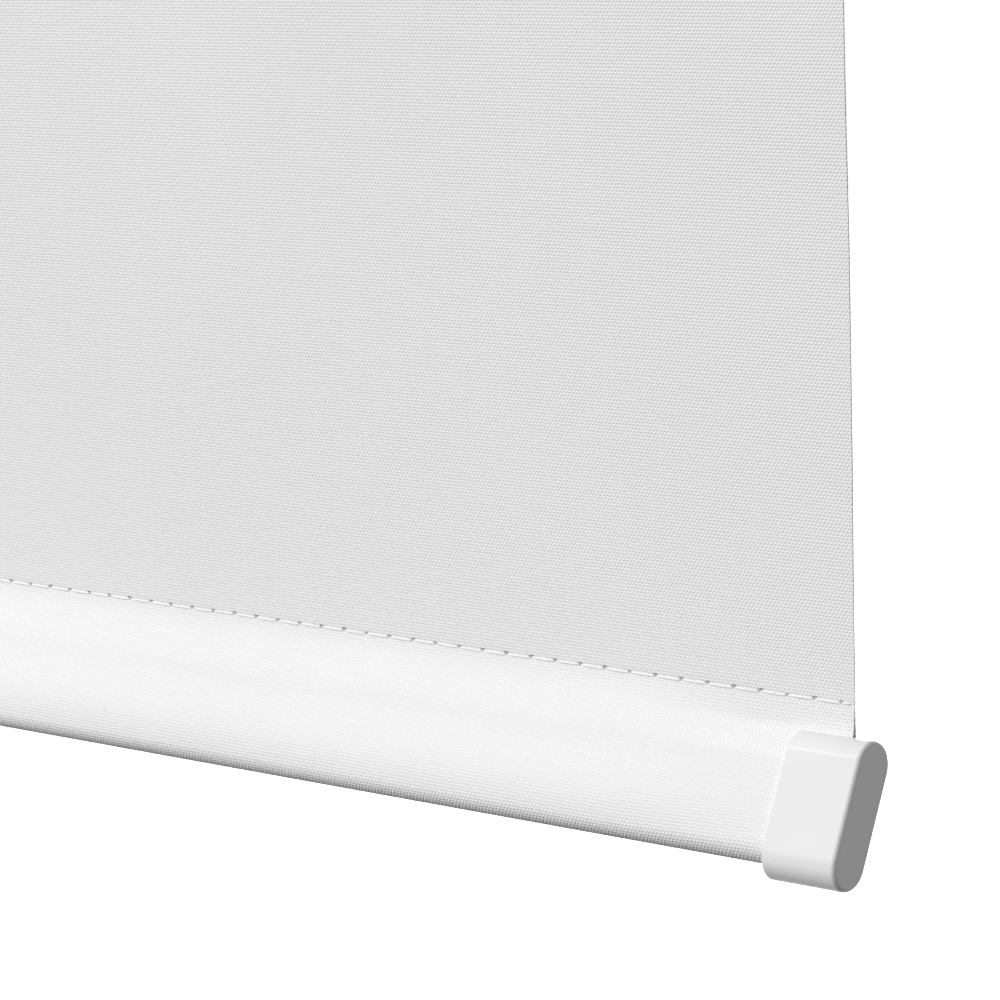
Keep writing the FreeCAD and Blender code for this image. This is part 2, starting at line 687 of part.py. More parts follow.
def make_spring_anchor():
    """Collar on the rod, against the spear, that the spring's still end grips."""
    body = seat_on_roller(new_body("spring_anchor"), -1)
    collar = sketch_on(body, "YZ_Plane", "anchor_collar", "spear_length + press_gap")
    circle(collar, "anchor_radius")
    circle(collar, "rod_radius + press_gap / 3")
    pad(body, collar, "anchor_length")
    return body


def make_torsion_spring():
    """Close-wound spring as its sleeve: the turns touch one another when the shade is down."""
    body = seat_on_roller(new_body("torsion_spring"), -1)
    coil = sketch_on(body, "YZ_Plane", "spring_sleeve", "spear_length + side_gap")
    circle(coil, "anchor_radius + spring_gap + spring_wire")
    circle(coil, "anchor_radius + spring_gap")
    pad(body, coil, "spring_length")
    return body


def make_spring_plug():
    """Plug keyed in the tube: its nose holds the spring's turning end and its bore steadies the rod."""
    body = seat_on_roller(new_body("spring_plug"), -1)
    nose_start = "(spear_length + 2 * side_gap + spring_length - drive_nose)"
    barrel_start = "(spear_length + 2 * side_gap + spring_length)"
    nose = sketch_on(body, "YZ_Plane", "plug_nose", nose_start)
    circle(nose, "anchor_radius")
    pad(body, nose, "drive_nose + drive_length")
    barrel = sketch_on(body, "YZ_Plane", "plug_barrel", barrel_start)
    circle(barrel, PLUG_RADIUS)
    pad(body, barrel, "drive_length")
    bore = sketch_on(body, "YZ_Plane", "plug_bore", nose_start)
    circle(bore, "rod_radius + run_gap")
    cut(body, bore, "drive_nose + drive_length")
    key_notch(body, "drive_length", barrel_start)
    return body


# Sprung pin at the right end


def make_idler_plug():
    """Right plug: guides the sprung pin and holds its spring."""
    body = plug_blank("idler_plug", 1, "idler_length")
    guide = sketch_on(body, "YZ_Plane", "pin_guide", "flange_thickness")
    circle(guide, "idler_radius + run_gap")
    cut(body, guide, "flange_thickness + idler_length", back=True)
    chamber = sketch_on(body, "YZ_Plane", "spring_chamber", "flange_thickness - idler_guide")
    circle(chamber, "idler_collar_radius + press_gap")
    cut(body, chamber, "flange_thickness + idler_length - idler_guide", back=True)
    key_notch(body, "idler_length", "-idler_length")
    return body


def make_idler_pin():
    """Sprung pin: stepped tip, guided body and the collar that keeps it in."""
    body = seat_on_roller(new_body("idler_pin"), 1)
    collar_front = "(flange_thickness - idler_guide - press_gap)"
    collar = sketch_on(body, "YZ_Plane", "pin_collar", collar_front)
    circle(collar, "idler_collar_radius")
    pad(body, collar, "idler_collar_thickness", back=True)
    shank = sketch_on(body, "YZ_Plane", "pin_shank", collar_front)
    circle(shank, "idler_radius")
    pad(body, shank, f"ear_room - side_gap - {collar_front}")
    tip = sketch_on(body, "YZ_Plane", "pin_tip", "ear_room - side_gap")
    circle(tip, "idler_tip_radius")
    pad(body, tip, "side_gap + bracket_thickness + idler_tip_reach")
    tip_end = number("ear_room + bracket_thickness + idler_tip_reach")
    bevel_edges(body, "idler_tip_radius / 3", lambda edge: lies_at(edge, "X", tip_end))
    return body


def make_idler_spring():
    """The pin's spring as its sleeve, between the collar and the disc."""
    body = seat_on_roller(new_body("idler_spring"), 1)
    collar_back = "(flange_thickness - idler_guide - press_gap - idler_collar_thickness)"
    coil = sketch_on(body, "YZ_Plane", "pin_spring", f"{collar_back} - press_gap")
    circle(coil, "seat_spigot + press_gap + idler_spring_wire")
    circle(coil, "seat_spigot + press_gap")
    length = f"{collar_back} + idler_length - seat_thickness - 3 * press_gap"
    pad(body, coil, length, back=True)
    return body


def make_spring_seat():
    """Disc pressed into the back of the plug, with a spigot inside the spring."""
    body = seat_on_roller(new_body("spring_seat"), 1)
    front = "-(idler_length - seat_thickness)"
    disc = sketch_on(body, "YZ_Plane", "seat_disc", front)
    circle(disc, "idler_collar_radius + press_gap / 2")
    pad(body, disc, "seat_thickness", back=True)
    spigot = sketch_on(body, "YZ_Plane", "seat_spigot", front)
    circle(spigot, "seat_spigot")
    pad(body, spigot, "2 * seat_thickness")
    return body


# Hanging cloth and hem


def make_shade_cloth():
    """The hanging cloth, from the back of the roll down to the seam."""
    body = new_body("shade_cloth")
    seat(body, x="-cloth_width / 2", y="-axis_out")
    sheet = sketch_on(body, "YZ_Plane", "hanging_sheet")
    rectangle(
        sheet,
        CLOTH_FRONT,
        f"{CLOTH_FRONT} + cloth_thickness",
        f"-bar_drop + {SEAM_ABOVE} + cloth_parting",
        "-cloth_parting",
    )
    pad(body, sheet, "cloth_width")
    return body


def tangent_point(away, centre, radius, side):
    """Where a line from a point touches a circle, on its front (-1) or back (1)."""
    arm = away - centre
    turn = math.acos(radius / arm.Length)
    angle = math.atan2(arm.z, arm.y) - side * turn
    return centre + Vector(0, radius * math.cos(angle), radius * math.sin(angle))


def hem_wire(x, radius, half_straight, front_chain, back_chain):
    """Outline of the cloth round the bar, closed above by points from front and back of the seam."""
    low, high = Vector(x, 0, -half_straight), Vector(x, 0, half_straight)
    front, back, down = Vector(0, -radius, 0), Vector(0, radius, 0), Vector(0, 0, -radius)
    slant = math.sqrt(0.5)

    def quarter(begin, finish, centre, middle):
        return Part.Arc(centre + begin, centre + middle, centre + finish).toShape()

    front_touch = tangent_point(front_chain[0], high, radius, -1)
    back_touch = tangent_point(back_chain[0], high, radius, 1)

    def part_arc(begin, finish):
        middle = begin + finish - high * 2
        middle.normalize()
        return Part.Arc(begin, high + middle * radius, finish).toShape()

    edges = [
        part_arc(front_touch, high + front),
        Part.makeLine(high + front, low + front),
        quarter(front, down, low, (front + down) * slant),
        quarter(down, back, low, (down + back) * slant),
        Part.makeLine(low + back, high + back),
        part_arc(high + back, back_touch),
    ]
    chain = [back_touch, *back_chain, *reversed(front_chain), front_touch]
    edges += [Part.makeLine(begin, finish) for begin, finish in zip(chain, chain[1:])]
    return Part.Wire(edges)


def hem_sections(outside):
    """The pocket's outlines along X: drawn together in the caps, open to the seam between them."""
    half_straight = number(BAR_HALF_STRAIGHT)
    radius = number(SLEEVE_RADIUS) if outside else number(POCKET_RADIUS)
    layer = number("cloth_gap / 2 + cloth_thickness") if outside else number("cloth_gap / 2")
    seam = Vector(0, -number("seam_forward"), number("seam_height"))
    throat = Vector(0, 0, number("throat_height"))
    step = Vector(0, layer, 0)
    cloth_end = number("cloth_width / 2")
    mouth = number("CAP_END - cap_length - side_gap")
    inboard = mouth - number("throat_run")
    wires = []
    for x, drawn in ((-cloth_end, 1), (-mouth, 1), (-inboard, 0), (inboard, 0), (mouth, 1), (cloth_end, 1)):
        place = Vector(x, 0, 0)
        if outside and drawn:
            front = [place + throat - step, place + seam - step]
            back = [place + throat + step, place + seam + step]
        elif outside:
            top = Vector(x, 0, half_straight)
            tips = [place + seam - step, place + seam + step]
            touches = [tangent_point(tips[0], top, radius, -1), tangent_point(tips[1], top, radius, 1)]
            front, back = [[(touch + tip) / 2, tip] for touch, tip in zip(touches, tips)]
        else:
            apex = throat if drawn else seam - Vector(0, 0, number("3 * cloth_thickness"))
            front, back = [place + apex - step], [place + apex + step]
        wires.append(hem_wire(x, radius, half_straight, front, back))
    return wires


def make_hem_sleeve():
    """Cloth pocket sewn round the bar, whose layers come together to pass the caps' slots."""
    outside = Part.makeLoft(hem_sections(True), True, True)
    inside = Part.makeLoft(hem_sections(False), True, True)
    place = FreeCAD.Placement(
        Vector(0, number(BAR_Y), -number("bar_drop")), FreeCAD.Rotation(X_AXIS, -number("hem_tilt"))
    )
    return feature_from_shape("hem_sleeve", outside.cut(inside), place)


def make_bottom_bar():
    """Flat oval bar, hollow on both sides of a middle web."""
    body = seat_on_hem(new_body("bottom_bar"))
    half_length = f"({CAP_END} - cap_end_wall - side_gap)"
    outside = sketch_on(body, "YZ_Plane", "bar_outside", f"-{half_length}")
    stadium(outside, "(bar_thickness / 2)", BAR_HALF_STRAIGHT)
    pad(body, outside, f"2 * {half_length}")
    hollows = sketch_on(body, "YZ_Plane", "bar_hollows", f"-{half_length}")
    inner = "(bar_thickness / 2 - bar_wall)"
    outline(
        hollows,
        (f"-{inner}", "bar_web / 2"),
        (inner, "bar_web / 2"),
        (inner, BAR_HALF_STRAIGHT),
        (f"-{inner}", BAR_HALF_STRAIGHT, "0", BAR_HALF_STRAIGHT, 1),
    )
    outline(
        hollows,
        (inner, "-bar_web / 2"),
        (f"-{inner}", "-bar_web / 2"),
        (f"-{inner}", f"-{BAR_HALF_STRAIGHT}"),
        (inner, f"-{BAR_HALF_STRAIGHT}", "0", f"-{BAR_HALF_STRAIGHT}", 1),
    )
    cut(body, hollows, f"2 * {half_length}")
    return body


def make_hem_cap(side, name):
    """Oval cup with a closed bevelled end, a slot on top for the cloth and prongs in the bar."""
    body = seat_on_hem(new_body(name))
    inward = side > 0
    outside = sketch_on(body, "YZ_Plane", name + "_outside", f"{side} * {CAP_END}")
    half_straight = f"(cap_height / 2 - {CAP_RADIUS})"
    stadium(outside, CAP_RADIUS, half_straight)
    pad(body, outside, "cap_length", back=inward)
    end_x = side * number(CAP_END)
    bevel_edges(body, "cap_bevel", lambda edge: lies_at(edge, "X", end_x))
    inside = sketch_on(body, "YZ_Plane", name + "_inside", f"{side} * ({CAP_END} - cap_length)")
    stadium(inside, CAP_BORE, half_straight)
    cut(body, inside, "cap_length - cap_end_wall", back=not inward)
    slot = sketch_on(body, "YZ_Plane", name + "_slot", f"{side} * ({CAP_END} - cap_length)")
    rectangle(slot, "-cap_slot_width / 2", "cap_slot_width / 2", half_straight, "cap_height / 2 + 1")
    cut(body, slot, "cap_length - cap_past_cloth + side_gap", back=not inward)
    prongs = sketch_on(body, "YZ_Plane", name + "_prongs", f"{side} * ({CAP_END} - cap_end_wall)")
    half = "(bar_thickness / 2 - bar_wall - press_gap)"
    near, far = "bar_web / 2 + side_gap", "bar_web / 2 + side_gap + prong_height"
    rectangle(prongs, f"-{half}", half, near, far)
    rectangle(prongs, f"-{half}", half, f"-({far})", f"-({near})")
    pad(body, prongs, "prong_length", back=inward)
    return body


PIECES = [
    make_bracket_left(),
    make_bracket_right(),
    make_roller_tube(),
    make_cloth_spline(),
    make_fabric_roll(),
    make_end_housing(),
    make_housing_bush(),
    make_pawl_pins(),
    make_pawl("pawl_upper", False),
    make_pawl("pawl_lower", True),
    make_spear(),
    make_ratchet_hub(),
    make_arbor_rod(),
    make_rod_pin(),
    make_spring_anchor(),
    make_torsion_spring(),
    make_spring_plug(),
    make_idler_plug(),
    make_idler_pin(),
    make_idler_spring(),
    make_spring_seat(),
    make_shade_cloth(),
    make_hem_sleeve(),
    make_bottom_bar(),
    make_hem_cap(-1, "hem_cap_left"),
    make_hem_cap(1, "hem_cap_right"),
]
doc.recompute()

for item in doc.Objects:
    if {"Invalid", "Error"} & set(item.State):
        raise RuntimeError(f"{item.Name} failed: {item.State}")
os.makedirs("parts", exist_ok=True)
for piece in PIECES:
    if piece.Shape.isNull() or not piece.Shape.isValid() or piece.Shape.Volume <= 0:
        raise RuntimeError(f"{piece.Label} has no sound shape")
    piece.Shape.exportStep(f"parts/{piece.Label}.step")
    print(piece.Label, len(piece.Shape.Solids), "solid", round(piece.Shape.Volume), "mm3")
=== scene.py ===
"""Spring roller shade: plain woven cloth, stitched hem pocket and glossy oval hem caps.

Lengths are in metres, with +X to the right as seen from the room, +Y to the wall and +Z up.
The cloth hangs from the wall side of the roller, and the hem bar leans with its top to the wall.
"""
import json
import math
import random

import bmesh
import bpy
from bpy.props import FloatProperty, FloatVectorProperty, IntProperty, PointerProperty
from mathutils import Matrix, Vector, noise


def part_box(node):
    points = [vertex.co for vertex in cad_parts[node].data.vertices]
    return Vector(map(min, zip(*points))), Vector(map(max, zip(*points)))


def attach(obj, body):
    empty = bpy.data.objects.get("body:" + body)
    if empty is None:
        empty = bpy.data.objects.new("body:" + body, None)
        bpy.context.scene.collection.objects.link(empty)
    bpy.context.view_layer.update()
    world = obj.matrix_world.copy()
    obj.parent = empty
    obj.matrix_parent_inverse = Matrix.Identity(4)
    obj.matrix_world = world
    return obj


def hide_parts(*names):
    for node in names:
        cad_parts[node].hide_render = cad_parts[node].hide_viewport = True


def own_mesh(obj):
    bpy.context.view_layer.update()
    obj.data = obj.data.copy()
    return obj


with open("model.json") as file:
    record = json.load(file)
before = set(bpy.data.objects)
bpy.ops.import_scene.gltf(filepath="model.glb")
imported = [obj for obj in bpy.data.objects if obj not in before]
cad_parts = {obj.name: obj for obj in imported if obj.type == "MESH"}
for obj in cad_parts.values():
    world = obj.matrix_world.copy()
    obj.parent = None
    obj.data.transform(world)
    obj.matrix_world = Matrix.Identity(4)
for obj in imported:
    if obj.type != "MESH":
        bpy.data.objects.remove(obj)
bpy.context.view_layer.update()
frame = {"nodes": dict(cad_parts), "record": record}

bl_info = {
    "name": "Roller Shade",
    "version": (1, 0, 0),
    "blender": (4, 5, 0),
    "location": "3D View > Sidebar > Roller Shade",
    "description": "Builds the cloth, hem, caps and finishes of a spring roller shade",
    "category": "Add Mesh",
}

MM = 0.001
ON_PLANE = 1e-6
MERGE = 1e-7
RECORD = frame["record"]
BEHAVIOUR = RECORD["behaviour"]
BODY_OF = {node: body for body, nodes in BEHAVIOUR["bodies"].items() for node in nodes}
SLOT_OF = {entry["node"]: entry["material_slot"] for entry in RECORD["subparts"]}


def corners(node):
    """A node's lowest and highest corners at rest."""
    low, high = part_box(node)
    return Vector(low), Vector(high)


def middle(node):
    low, high = corners(node)
    return (low + high) / 2


CLOTH_LOW, CLOTH_HIGH = corners("shade_cloth")
CLOTH_THICKNESS = CLOTH_HIGH.y - CLOTH_LOW.y
CLOTH_HALF = CLOTH_HIGH.x
CLOTH_Y = (CLOTH_LOW.y + CLOTH_HIGH.y) / 2
LAYER_STEP = CLOTH_THICKNESS + 0.05 * MM
AXIS = middle("arbor_rod")
BAR = middle("bottom_bar")
CAP_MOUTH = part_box("hem_cap_right")[0][0]


def length(name, description, millimetres):
    """A length that shows in the sidebar."""
    return FloatProperty(
        name=name, description=description, default=millimetres * MM,
        subtype="DISTANCE", unit="LENGTH", precision=5,
    )


def angle(name, description, radians):
    return FloatProperty(
        name=name, description=description, default=radians, subtype="ANGLE", unit="ROTATION"
    )


def power(name, description, watts):
    return FloatProperty(name=name, description=description, default=watts, min=0.0, unit="POWER")


def number_of(name, description, value):
    return IntProperty(name=name, description=description, default=value, min=1)


def colour(name, description, value):
    return FloatVectorProperty(
        name=name, description=description, default=value, subtype="COLOR", size=3, min=0.0, max=1.0
    )


def share(name, description, value):
    return FloatProperty(
        name=name, description=description, default=value, subtype="FACTOR", min=0.0, max=1.0
    )


class ShadeClothSettings(bpy.types.PropertyGroup):
    """Cloth of the shade."""

    tone: colour("Cloth", "Colour of the coated cloth", (0.85, 0.85, 0.85))
    warp_pitch: length("Warp pitch", "Between two upright threads", 0.367)
    weft_pitch: length("Weft pitch", "Between two level threads", 0.551)
    thickness: length("Thickness", "Cloth between its threads' crowns", 0.25)
    relief: length("Weave relief", "Height of the threads' crowns", 0.031)
    gap_shade: share("Gap shade", "Darkening between the threads", 0.03)
    ripple: length("Ripple", "Soft unevenness of the hanging cloth", 0.4)
    ripple_size: length("Ripple size", "Width of one soft ripple", 60.0)
    edge_wave: length("Edge wave", "Wave of the cut edges", 0.35)
    wall_sway: length("Wall sway", "Furthest that the cloth waves to the wall", 0.15)
    wound_step: length("Wound step", "One wrap of cloth on the roller to the next", 0.5)


class ShadeHemSettings(bpy.types.PropertyGroup):
    """Hem pocket and its seam."""

    lean: angle("Lean", "Lean of the hem bar", math.radians(25.4))
    bar_thickness: length("Bar thickness", "Flat oval hem bar", 5.4)
    bar_height: length("Bar height", "Flat oval hem bar", 18.4)
    ease: length("Ease", "Pocket round the bar", 0.22)
    round_in: angle("Round in", "Turn of the front as it meets the bar's end", math.radians(21.0))
    set_back: length("Set back", "Folded edge inside the panel's edge", 0.4)
    seam_above: length("Seam above bar", "Seam over the middle of the bar", 16.6)
    throat_height: length("Throat height", "Where the two layers enter the caps' slots", 12.6)
    throat_gap: length("Throat gap", "Between the two layers in the caps' slots", 1.15)
    throat_run: length("Throat run", "Length over which the layers come together", 34.0)
    raw_edge: length("Raw edge", "Cloth left above the seam on the wall side", 6.0)
    stitch_pitch: length("Stitch", "Needle hole to needle hole", 5.322)
    stitch_first: length("First hole", "Middle of the shade to the outermost needle hole", 302.48)
    hole_width: length("Needle hole", "Width of a needle hole", 0.95)
    hole_height: length("Needle hole's height", "Height of a needle hole", 0.44)
    thread_radius: length("Thread", "Radius of the seam thread", 0.21)
    thread_tone: colour("Thread", "Colour of the seam thread", (0.87, 0.87, 0.87))


class ShadeCapSettings(bpy.types.PropertyGroup):
    """Oval caps of the hem."""

    tone: colour("Cap", "Colour of the glossy caps", (0.795, 0.795, 0.797))
    height: length("Height", "Oval cap", 24.0)
    crown: length("Crown", "Rise of the oval's upper half", 0.4)
    width: length("Width", "Oval cap", 8.8)
    wall: length("Wall", "Wall of the cap", 1.0)
    end_wall: length("End wall", "Closed end of the cap", 1.5)
    end_round: length("End round", "Rounded edge of the closed end", 0.75)
    lip_round: length("Lip round", "Rounded edge of the open end", 0.05)
    slot_width: length("Slot", "Slot in the top for the cloth", 3.1)
    past_cloth: length("Past the cloth", "Cap past the cloth's cut edge", 4.6)
    prong_length: length("Prong", "Length of the prongs in the bar", 9.0)


class ShadeMetalSettings(bpy.types.PropertyGroup):
    """Brackets, tube and fittings."""

    zinc: colour("Zinc", "Plated bracket steel", (0.52, 0.53, 0.55))
    steel: colour("Steel", "Turned and stamped fittings", (0.50, 0.50, 0.51))
    aluminium: colour("Aluminium", "Extruded tube and hem bar", (0.66, 0.67, 0.68))
    spring: colour("Spring", "Oiled spring wire", (0.20, 0.20, 0.22))
    moulding: colour("Moulding", "White end plugs", (0.78, 0.78, 0.77))
    nylon: colour("Nylon", "Natural nylon fittings", (0.72, 0.70, 0.63))
    vinyl: colour("Vinyl", "Strip that locks the cloth", (0.82, 0.82, 0.80))
    bevel: length("Bevel", "Broken edges of the fittings", 0.18)
    torsion_turns: number_of("Turns", "Turns of the winding spring", 116)
    idler_turns: number_of("Pin turns", "Turns of the pin's spring", 8)


class ShadeStageSettings(bpy.types.PropertyGroup):
    """Floor, lights and camera."""

    floor_drop: length("Floor drop", "Wall screws down to the floor", 2100.0)
    key_power: power("Key", "Large light in front, on the left", 391.0)
    back_power: power("Back", "Light behind the shade", 190.0)
    glint_power: power("Glint", "Small light that shows on the caps", 3.0)
    side_power: power("Side", "Weak light on the right", 5.3)
    ambient: share("Ambient", "Light from all round", 0.245)
    focal_length: FloatProperty(
        name="Lens", description="Focal length", default=142.74, min=1.0, subtype="DISTANCE_CAMERA"
    )
    camera_x: length("Camera X", "Camera place", 659.7)
    camera_y: length("Camera Y", "Camera place", -518.8)
    camera_z: length("Camera Z", "Camera place", -725.7)
    yaw: angle("Yaw", "Turn of the view", -0.70916)
    pitch: angle("Pitch", "Tilt of the view", -0.16829)
    roll: angle("Roll", "Roll of the view", -0.02962)


# Materials

PURE_WHITE = (1.0, 1.0, 1.0, 1.0)
NOISE_RANGE = (0.3, 0.7)


class Tree:
    """Node tree with short calls for its usual nodes."""

    def __init__(self, tree):
        self.tree = tree

    def feed(self, socket, value):
        """Links a node's output to a socket, or sets the socket's own value."""
        if isinstance(value, bpy.types.NodeSocket):
            self.tree.links.new(value, socket)
        elif value is not None:
            socket.default_value = value

    def add(self, kind, *inputs, **settings):
        item = self.tree.nodes.new(kind)
        for key, value in settings.items():
            setattr(item, key, value)
        for socket, value in zip(item.inputs, inputs):
            self.feed(socket, value)
        return item

    def math(self, operation, *inputs):
        return self.add("ShaderNodeMath", *inputs, operation=operation).outputs[0]

    def vector(self, operation, *inputs):
        return self.add("ShaderNodeVectorMath", *inputs, operation=operation).outputs[0]

    def distance(self, vector):
        return self.add("ShaderNodeVectorMath", vector, operation="LENGTH").outputs["Value"]

    def split(self, vector):
        return self.add("ShaderNodeSeparateXYZ", vector).outputs

    def place(self):
        return self.add("ShaderNodeTexCoord").outputs["Object"]

    def stretched(self, scale):
        """Place on the piece, stretched per axis."""
        return self.vector("MULTIPLY", self.place(), scale)

    def noise(self, vector, scale, detail, rough=0.5, dimensions="3D"):
        item = self.add("ShaderNodeTexNoise", noise_dimensions=dimensions)
        self.feed(item.inputs["Vector"], vector)
        item.inputs["Scale"].default_value = scale
        item.inputs["Detail"].default_value = detail
        item.inputs["Roughness"].default_value = rough
        return item.outputs

    def cloud(self, vector, scale, detail, rough=0.5):
        return self.noise(vector, scale, detail, rough)["Fac"]

    def spread(self, value, within, to, smooth=False):
        """Turns one range of a value into another, and stays at its ends beyond them."""
        item = self.add("ShaderNodeMapRange", value, *within, *to)
        item.interpolation_type = "SMOOTHSTEP" if smooth else "LINEAR"
        return item.outputs[0]

    def wave(self, value, turn):
        """Cosine of a length, at a turn in radians per metre."""
        return self.math("COSINE", self.math("MULTIPLY", value, turn))

    def scaled(self, tone, factor):
        """A colour darkened or lightened by a factor."""
        item = self.add("ShaderNodeVectorMath", operation="SCALE")
        self.feed(item.inputs[0], tone)
        self.feed(item.inputs["Scale"], factor)
        return item.outputs[0]

    def bump(self, height, distance, strength=1.0, normal=None):
        item = self.add("ShaderNodeBump")
        item.inputs["Strength"].default_value = strength
        item.inputs["Distance"].default_value = distance
        self.feed(item.inputs["Height"], height)
        self.feed(item.inputs["Normal"], normal)
        return item.outputs[0]

    def direct_look(self):
        """1 where the camera, a reflection or a clear piece looks straight at a surface."""
        path = self.add("ShaderNodeLightPath").outputs
        total = path["Is Camera Ray"]
        for name in ("Is Glossy Ray", "Is Transmission Ray"):
            total = self.math("MAXIMUM", total, path[name])
        return total


class Finish(Tree):
    """One material, round its own shader."""

    def __init__(self, name, tone, roughness, **sockets):
        self.material = bpy.data.materials.new(name)
        self.material.use_nodes = True
        super().__init__(self.material.node_tree)
        self.shader = self.tree.nodes["Principled BSDF"]
        self.shader.inputs["Base Color"].default_value = (*tone, 1.0)
        self.shader.inputs["Roughness"].default_value = roughness
        for socket, value in sockets.items():
            self.shader.inputs[socket.replace("_", " ")].default_value = value

    def finish(self, tone=None, roughness=None, normal=None):
        self.feed(self.shader.inputs["Base Color"], tone)
        self.feed(self.shader.inputs["Roughness"], roughness)
        self.feed(self.shader.inputs["Normal"], normal)
        return self.material


def weave_height(made, cloth, uv, across, along):
    """Height of the plain weave, in units of its relief, and the wave of its level rows."""
    warp_stray = 0.13 * cloth.warp_pitch
    weft_stray = 0.07 * cloth.weft_pitch
    row_share = 0.6
    drift = made.split(made.noise(uv, 900.0, 1.0, dimensions="2D")["Color"])
    warp_drift = made.spread(drift[0], NOISE_RANGE, (-warp_stray, warp_stray))
    weft_drift = made.spread(drift[1], NOISE_RANGE, (-weft_stray, weft_stray))
    warp_place = made.math("ADD", across, warp_drift)
    weft_place = made.math("ADD", along, weft_drift)
    warp = made.wave(warp_place, math.pi / cloth.warp_pitch)
    weft = made.wave(weft_place, math.pi / cloth.weft_pitch)
    rows = made.wave(weft_place, 2 * math.pi / cloth.weft_pitch)
    thread = made.math("MULTIPLY_ADD", rows, row_share, made.math("MULTIPLY", warp, weft))
    level_yarn = made.cloud(made.vector("MULTIPLY", uv, (60.0, 1500.0, 1.0)), 1.0, 1.0)
    upright_yarn = made.cloud(made.vector("MULTIPLY", uv, (2000.0, 50.0, 1.0)), 1.0, 1.0)
    strength = made.spread(made.math("ADD", level_yarn, upright_yarn), (0.6, 1.4), (0.7, 1.3))
    return made.math("MULTIPLY", thread, strength), rows


def needle_holes(made, hem, across, along, from_seam, back_seam):
    """0 outside the needle holes, most at their rims; it sets their dents and their painted shade.
    Their height, slant and level vary.
    """
    drops = (0.02 * MM, 0.22 * MM)
    heights = (0.36 * hem.hole_height, 0.72 * hem.hole_height)
    slants = (-1.3, 1.3)
    offset = made.math("SUBTRACT", across, hem.stitch_first)
    number = made.math("ROUND", made.math("DIVIDE", offset, hem.stitch_pitch))
    draws = made.add("ShaderNodeTexWhiteNoise", noise_dimensions="1D")
    made.feed(draws.inputs["W"], number)
    chance = made.split(draws.outputs["Color"])
    from_hole = made.math("WRAP", offset, hem.stitch_pitch / 2, -hem.stitch_pitch / 2)
    above = made.math("SUBTRACT", along, made.spread(chance[2], (0.0, 1.0), drops))
    on_front = made.math("GREATER_THAN", along, -back_seam / 2)
    level = made.add("ShaderNodeMix", on_front, None, from_seam, above).outputs[0]
    lean = made.spread(chance[0], (0.0, 1.0), slants)
    slanted = made.math("MULTIPLY_ADD", level, lean, from_hole)
    spot = made.add("ShaderNodeCombineXYZ", slanted, level, 0.0).outputs[0]
    half_height = made.spread(chance[1], (0.0, 1.0), heights)
    size = made.add("ShaderNodeCombineXYZ", hem.hole_width / 2, half_height, 1.0).outputs[0]
    reach = made.distance(made.vector("DIVIDE", spot, size))
    rim = made.spread(reach, (0.75, 1.35), (1.0, 0.0), smooth=True)
    core = made.spread(reach, (0.25, 0.8), (0.55, 1.0), smooth=True)
    return made.math("MULTIPLY", rim, core)


def cut_edge_shade(made, across, along, rows):
    """Darkening of the hem pocket's cut side edges, most between its level threads."""
    inside, darkest, fade = 0.35 * MM, 0.18, 1.5 * MM
    aside = made.math("ABSOLUTE", across)
    edge = made.spread(aside, (CLOTH_HALF - inside, CLOTH_HALF), (0.0, darkest), smooth=True)
    edge = made.math("MULTIPLY", edge, made.spread(rows, (-1.0, 1.0), (1.2, 0.2)))
    return made.math("MULTIPLY", edge, made.spread(along, (-fade, 0.0), (1.0, 0.0)))


def speck_shade(made, uv):
    """Darkening of a few small specks in the cloth."""
    specks = made.add("ShaderNodeTexVoronoi", voronoi_dimensions="2D", feature="F1")
    made.feed(specks.inputs["Vector"], uv)
    specks.inputs["Scale"].default_value = 22.0
    return made.spread(specks.outputs["Distance"], (0.003, 0.007), (0.12, 0.0))


def woven_cloth(cloth, hem, back_seam):
    """Coated plain weave that follows the cloth's own lengths, with the seam's needle holes."""
    made = Finish(
        "woven_cloth",
        cloth.tone,
        0.85,
        Specular_IOR_Level=0.25,
        Sheen_Weight=0.25,
        Sheen_Roughness=0.45,
    )
    hole_depth, tuck_depth, tuck_width = -4.0, -1.5, 1.1 * MM
    # Painted shade of the needle holes: the share of the cloth's colour left at their rims.
    painted_hole_shade = 0.42
    uv = made.add("ShaderNodeUVMap", uv_map="weave").outputs[0]
    across, along = made.split(uv)[:2]
    height, rows = weave_height(made, cloth, uv, across, along)
    front = made.math("ABSOLUTE", along)
    back = made.math("ABSOLUTE", made.math("ADD", along, back_seam))
    from_seam = made.math("MINIMUM", front, back)
    hole = needle_holes(made, hem, across, along, from_seam, back_seam)
    tuck = made.spread(from_seam, (0.0, tuck_width), (1.0, 0.0), smooth=True)
    height = made.math("MULTIPLY_ADD", hole, hole_depth, height)
    height = made.math("MULTIPLY_ADD", tuck, tuck_depth, height)

    cloudy = made.spread(made.cloud(uv, 14.0, 3.0), NOISE_RANGE, (0.99, 1.01))
    gaps = made.spread(height, (-1.5, 1.5), (1.0 - cloth.gap_shade, 1.0 + cloth.gap_shade))
    tone = made.scaled((*cloth.tone,), made.math("MULTIPLY", gaps, cloudy))
    # Needle holes are painted darker: painted shade in the holes, on top of their dents in the bump.
    tone = made.scaled(tone, made.spread(hole, (0.0, 1.0), (1.0, painted_hole_shade)))
    for shade in (cut_edge_shade(made, across, along, rows), speck_shade(made, uv)):
        tone = made.scaled(tone, made.math("SUBTRACT", 1.0, shade))
    return made.finish(tone, normal=made.bump(height, cloth.relief))


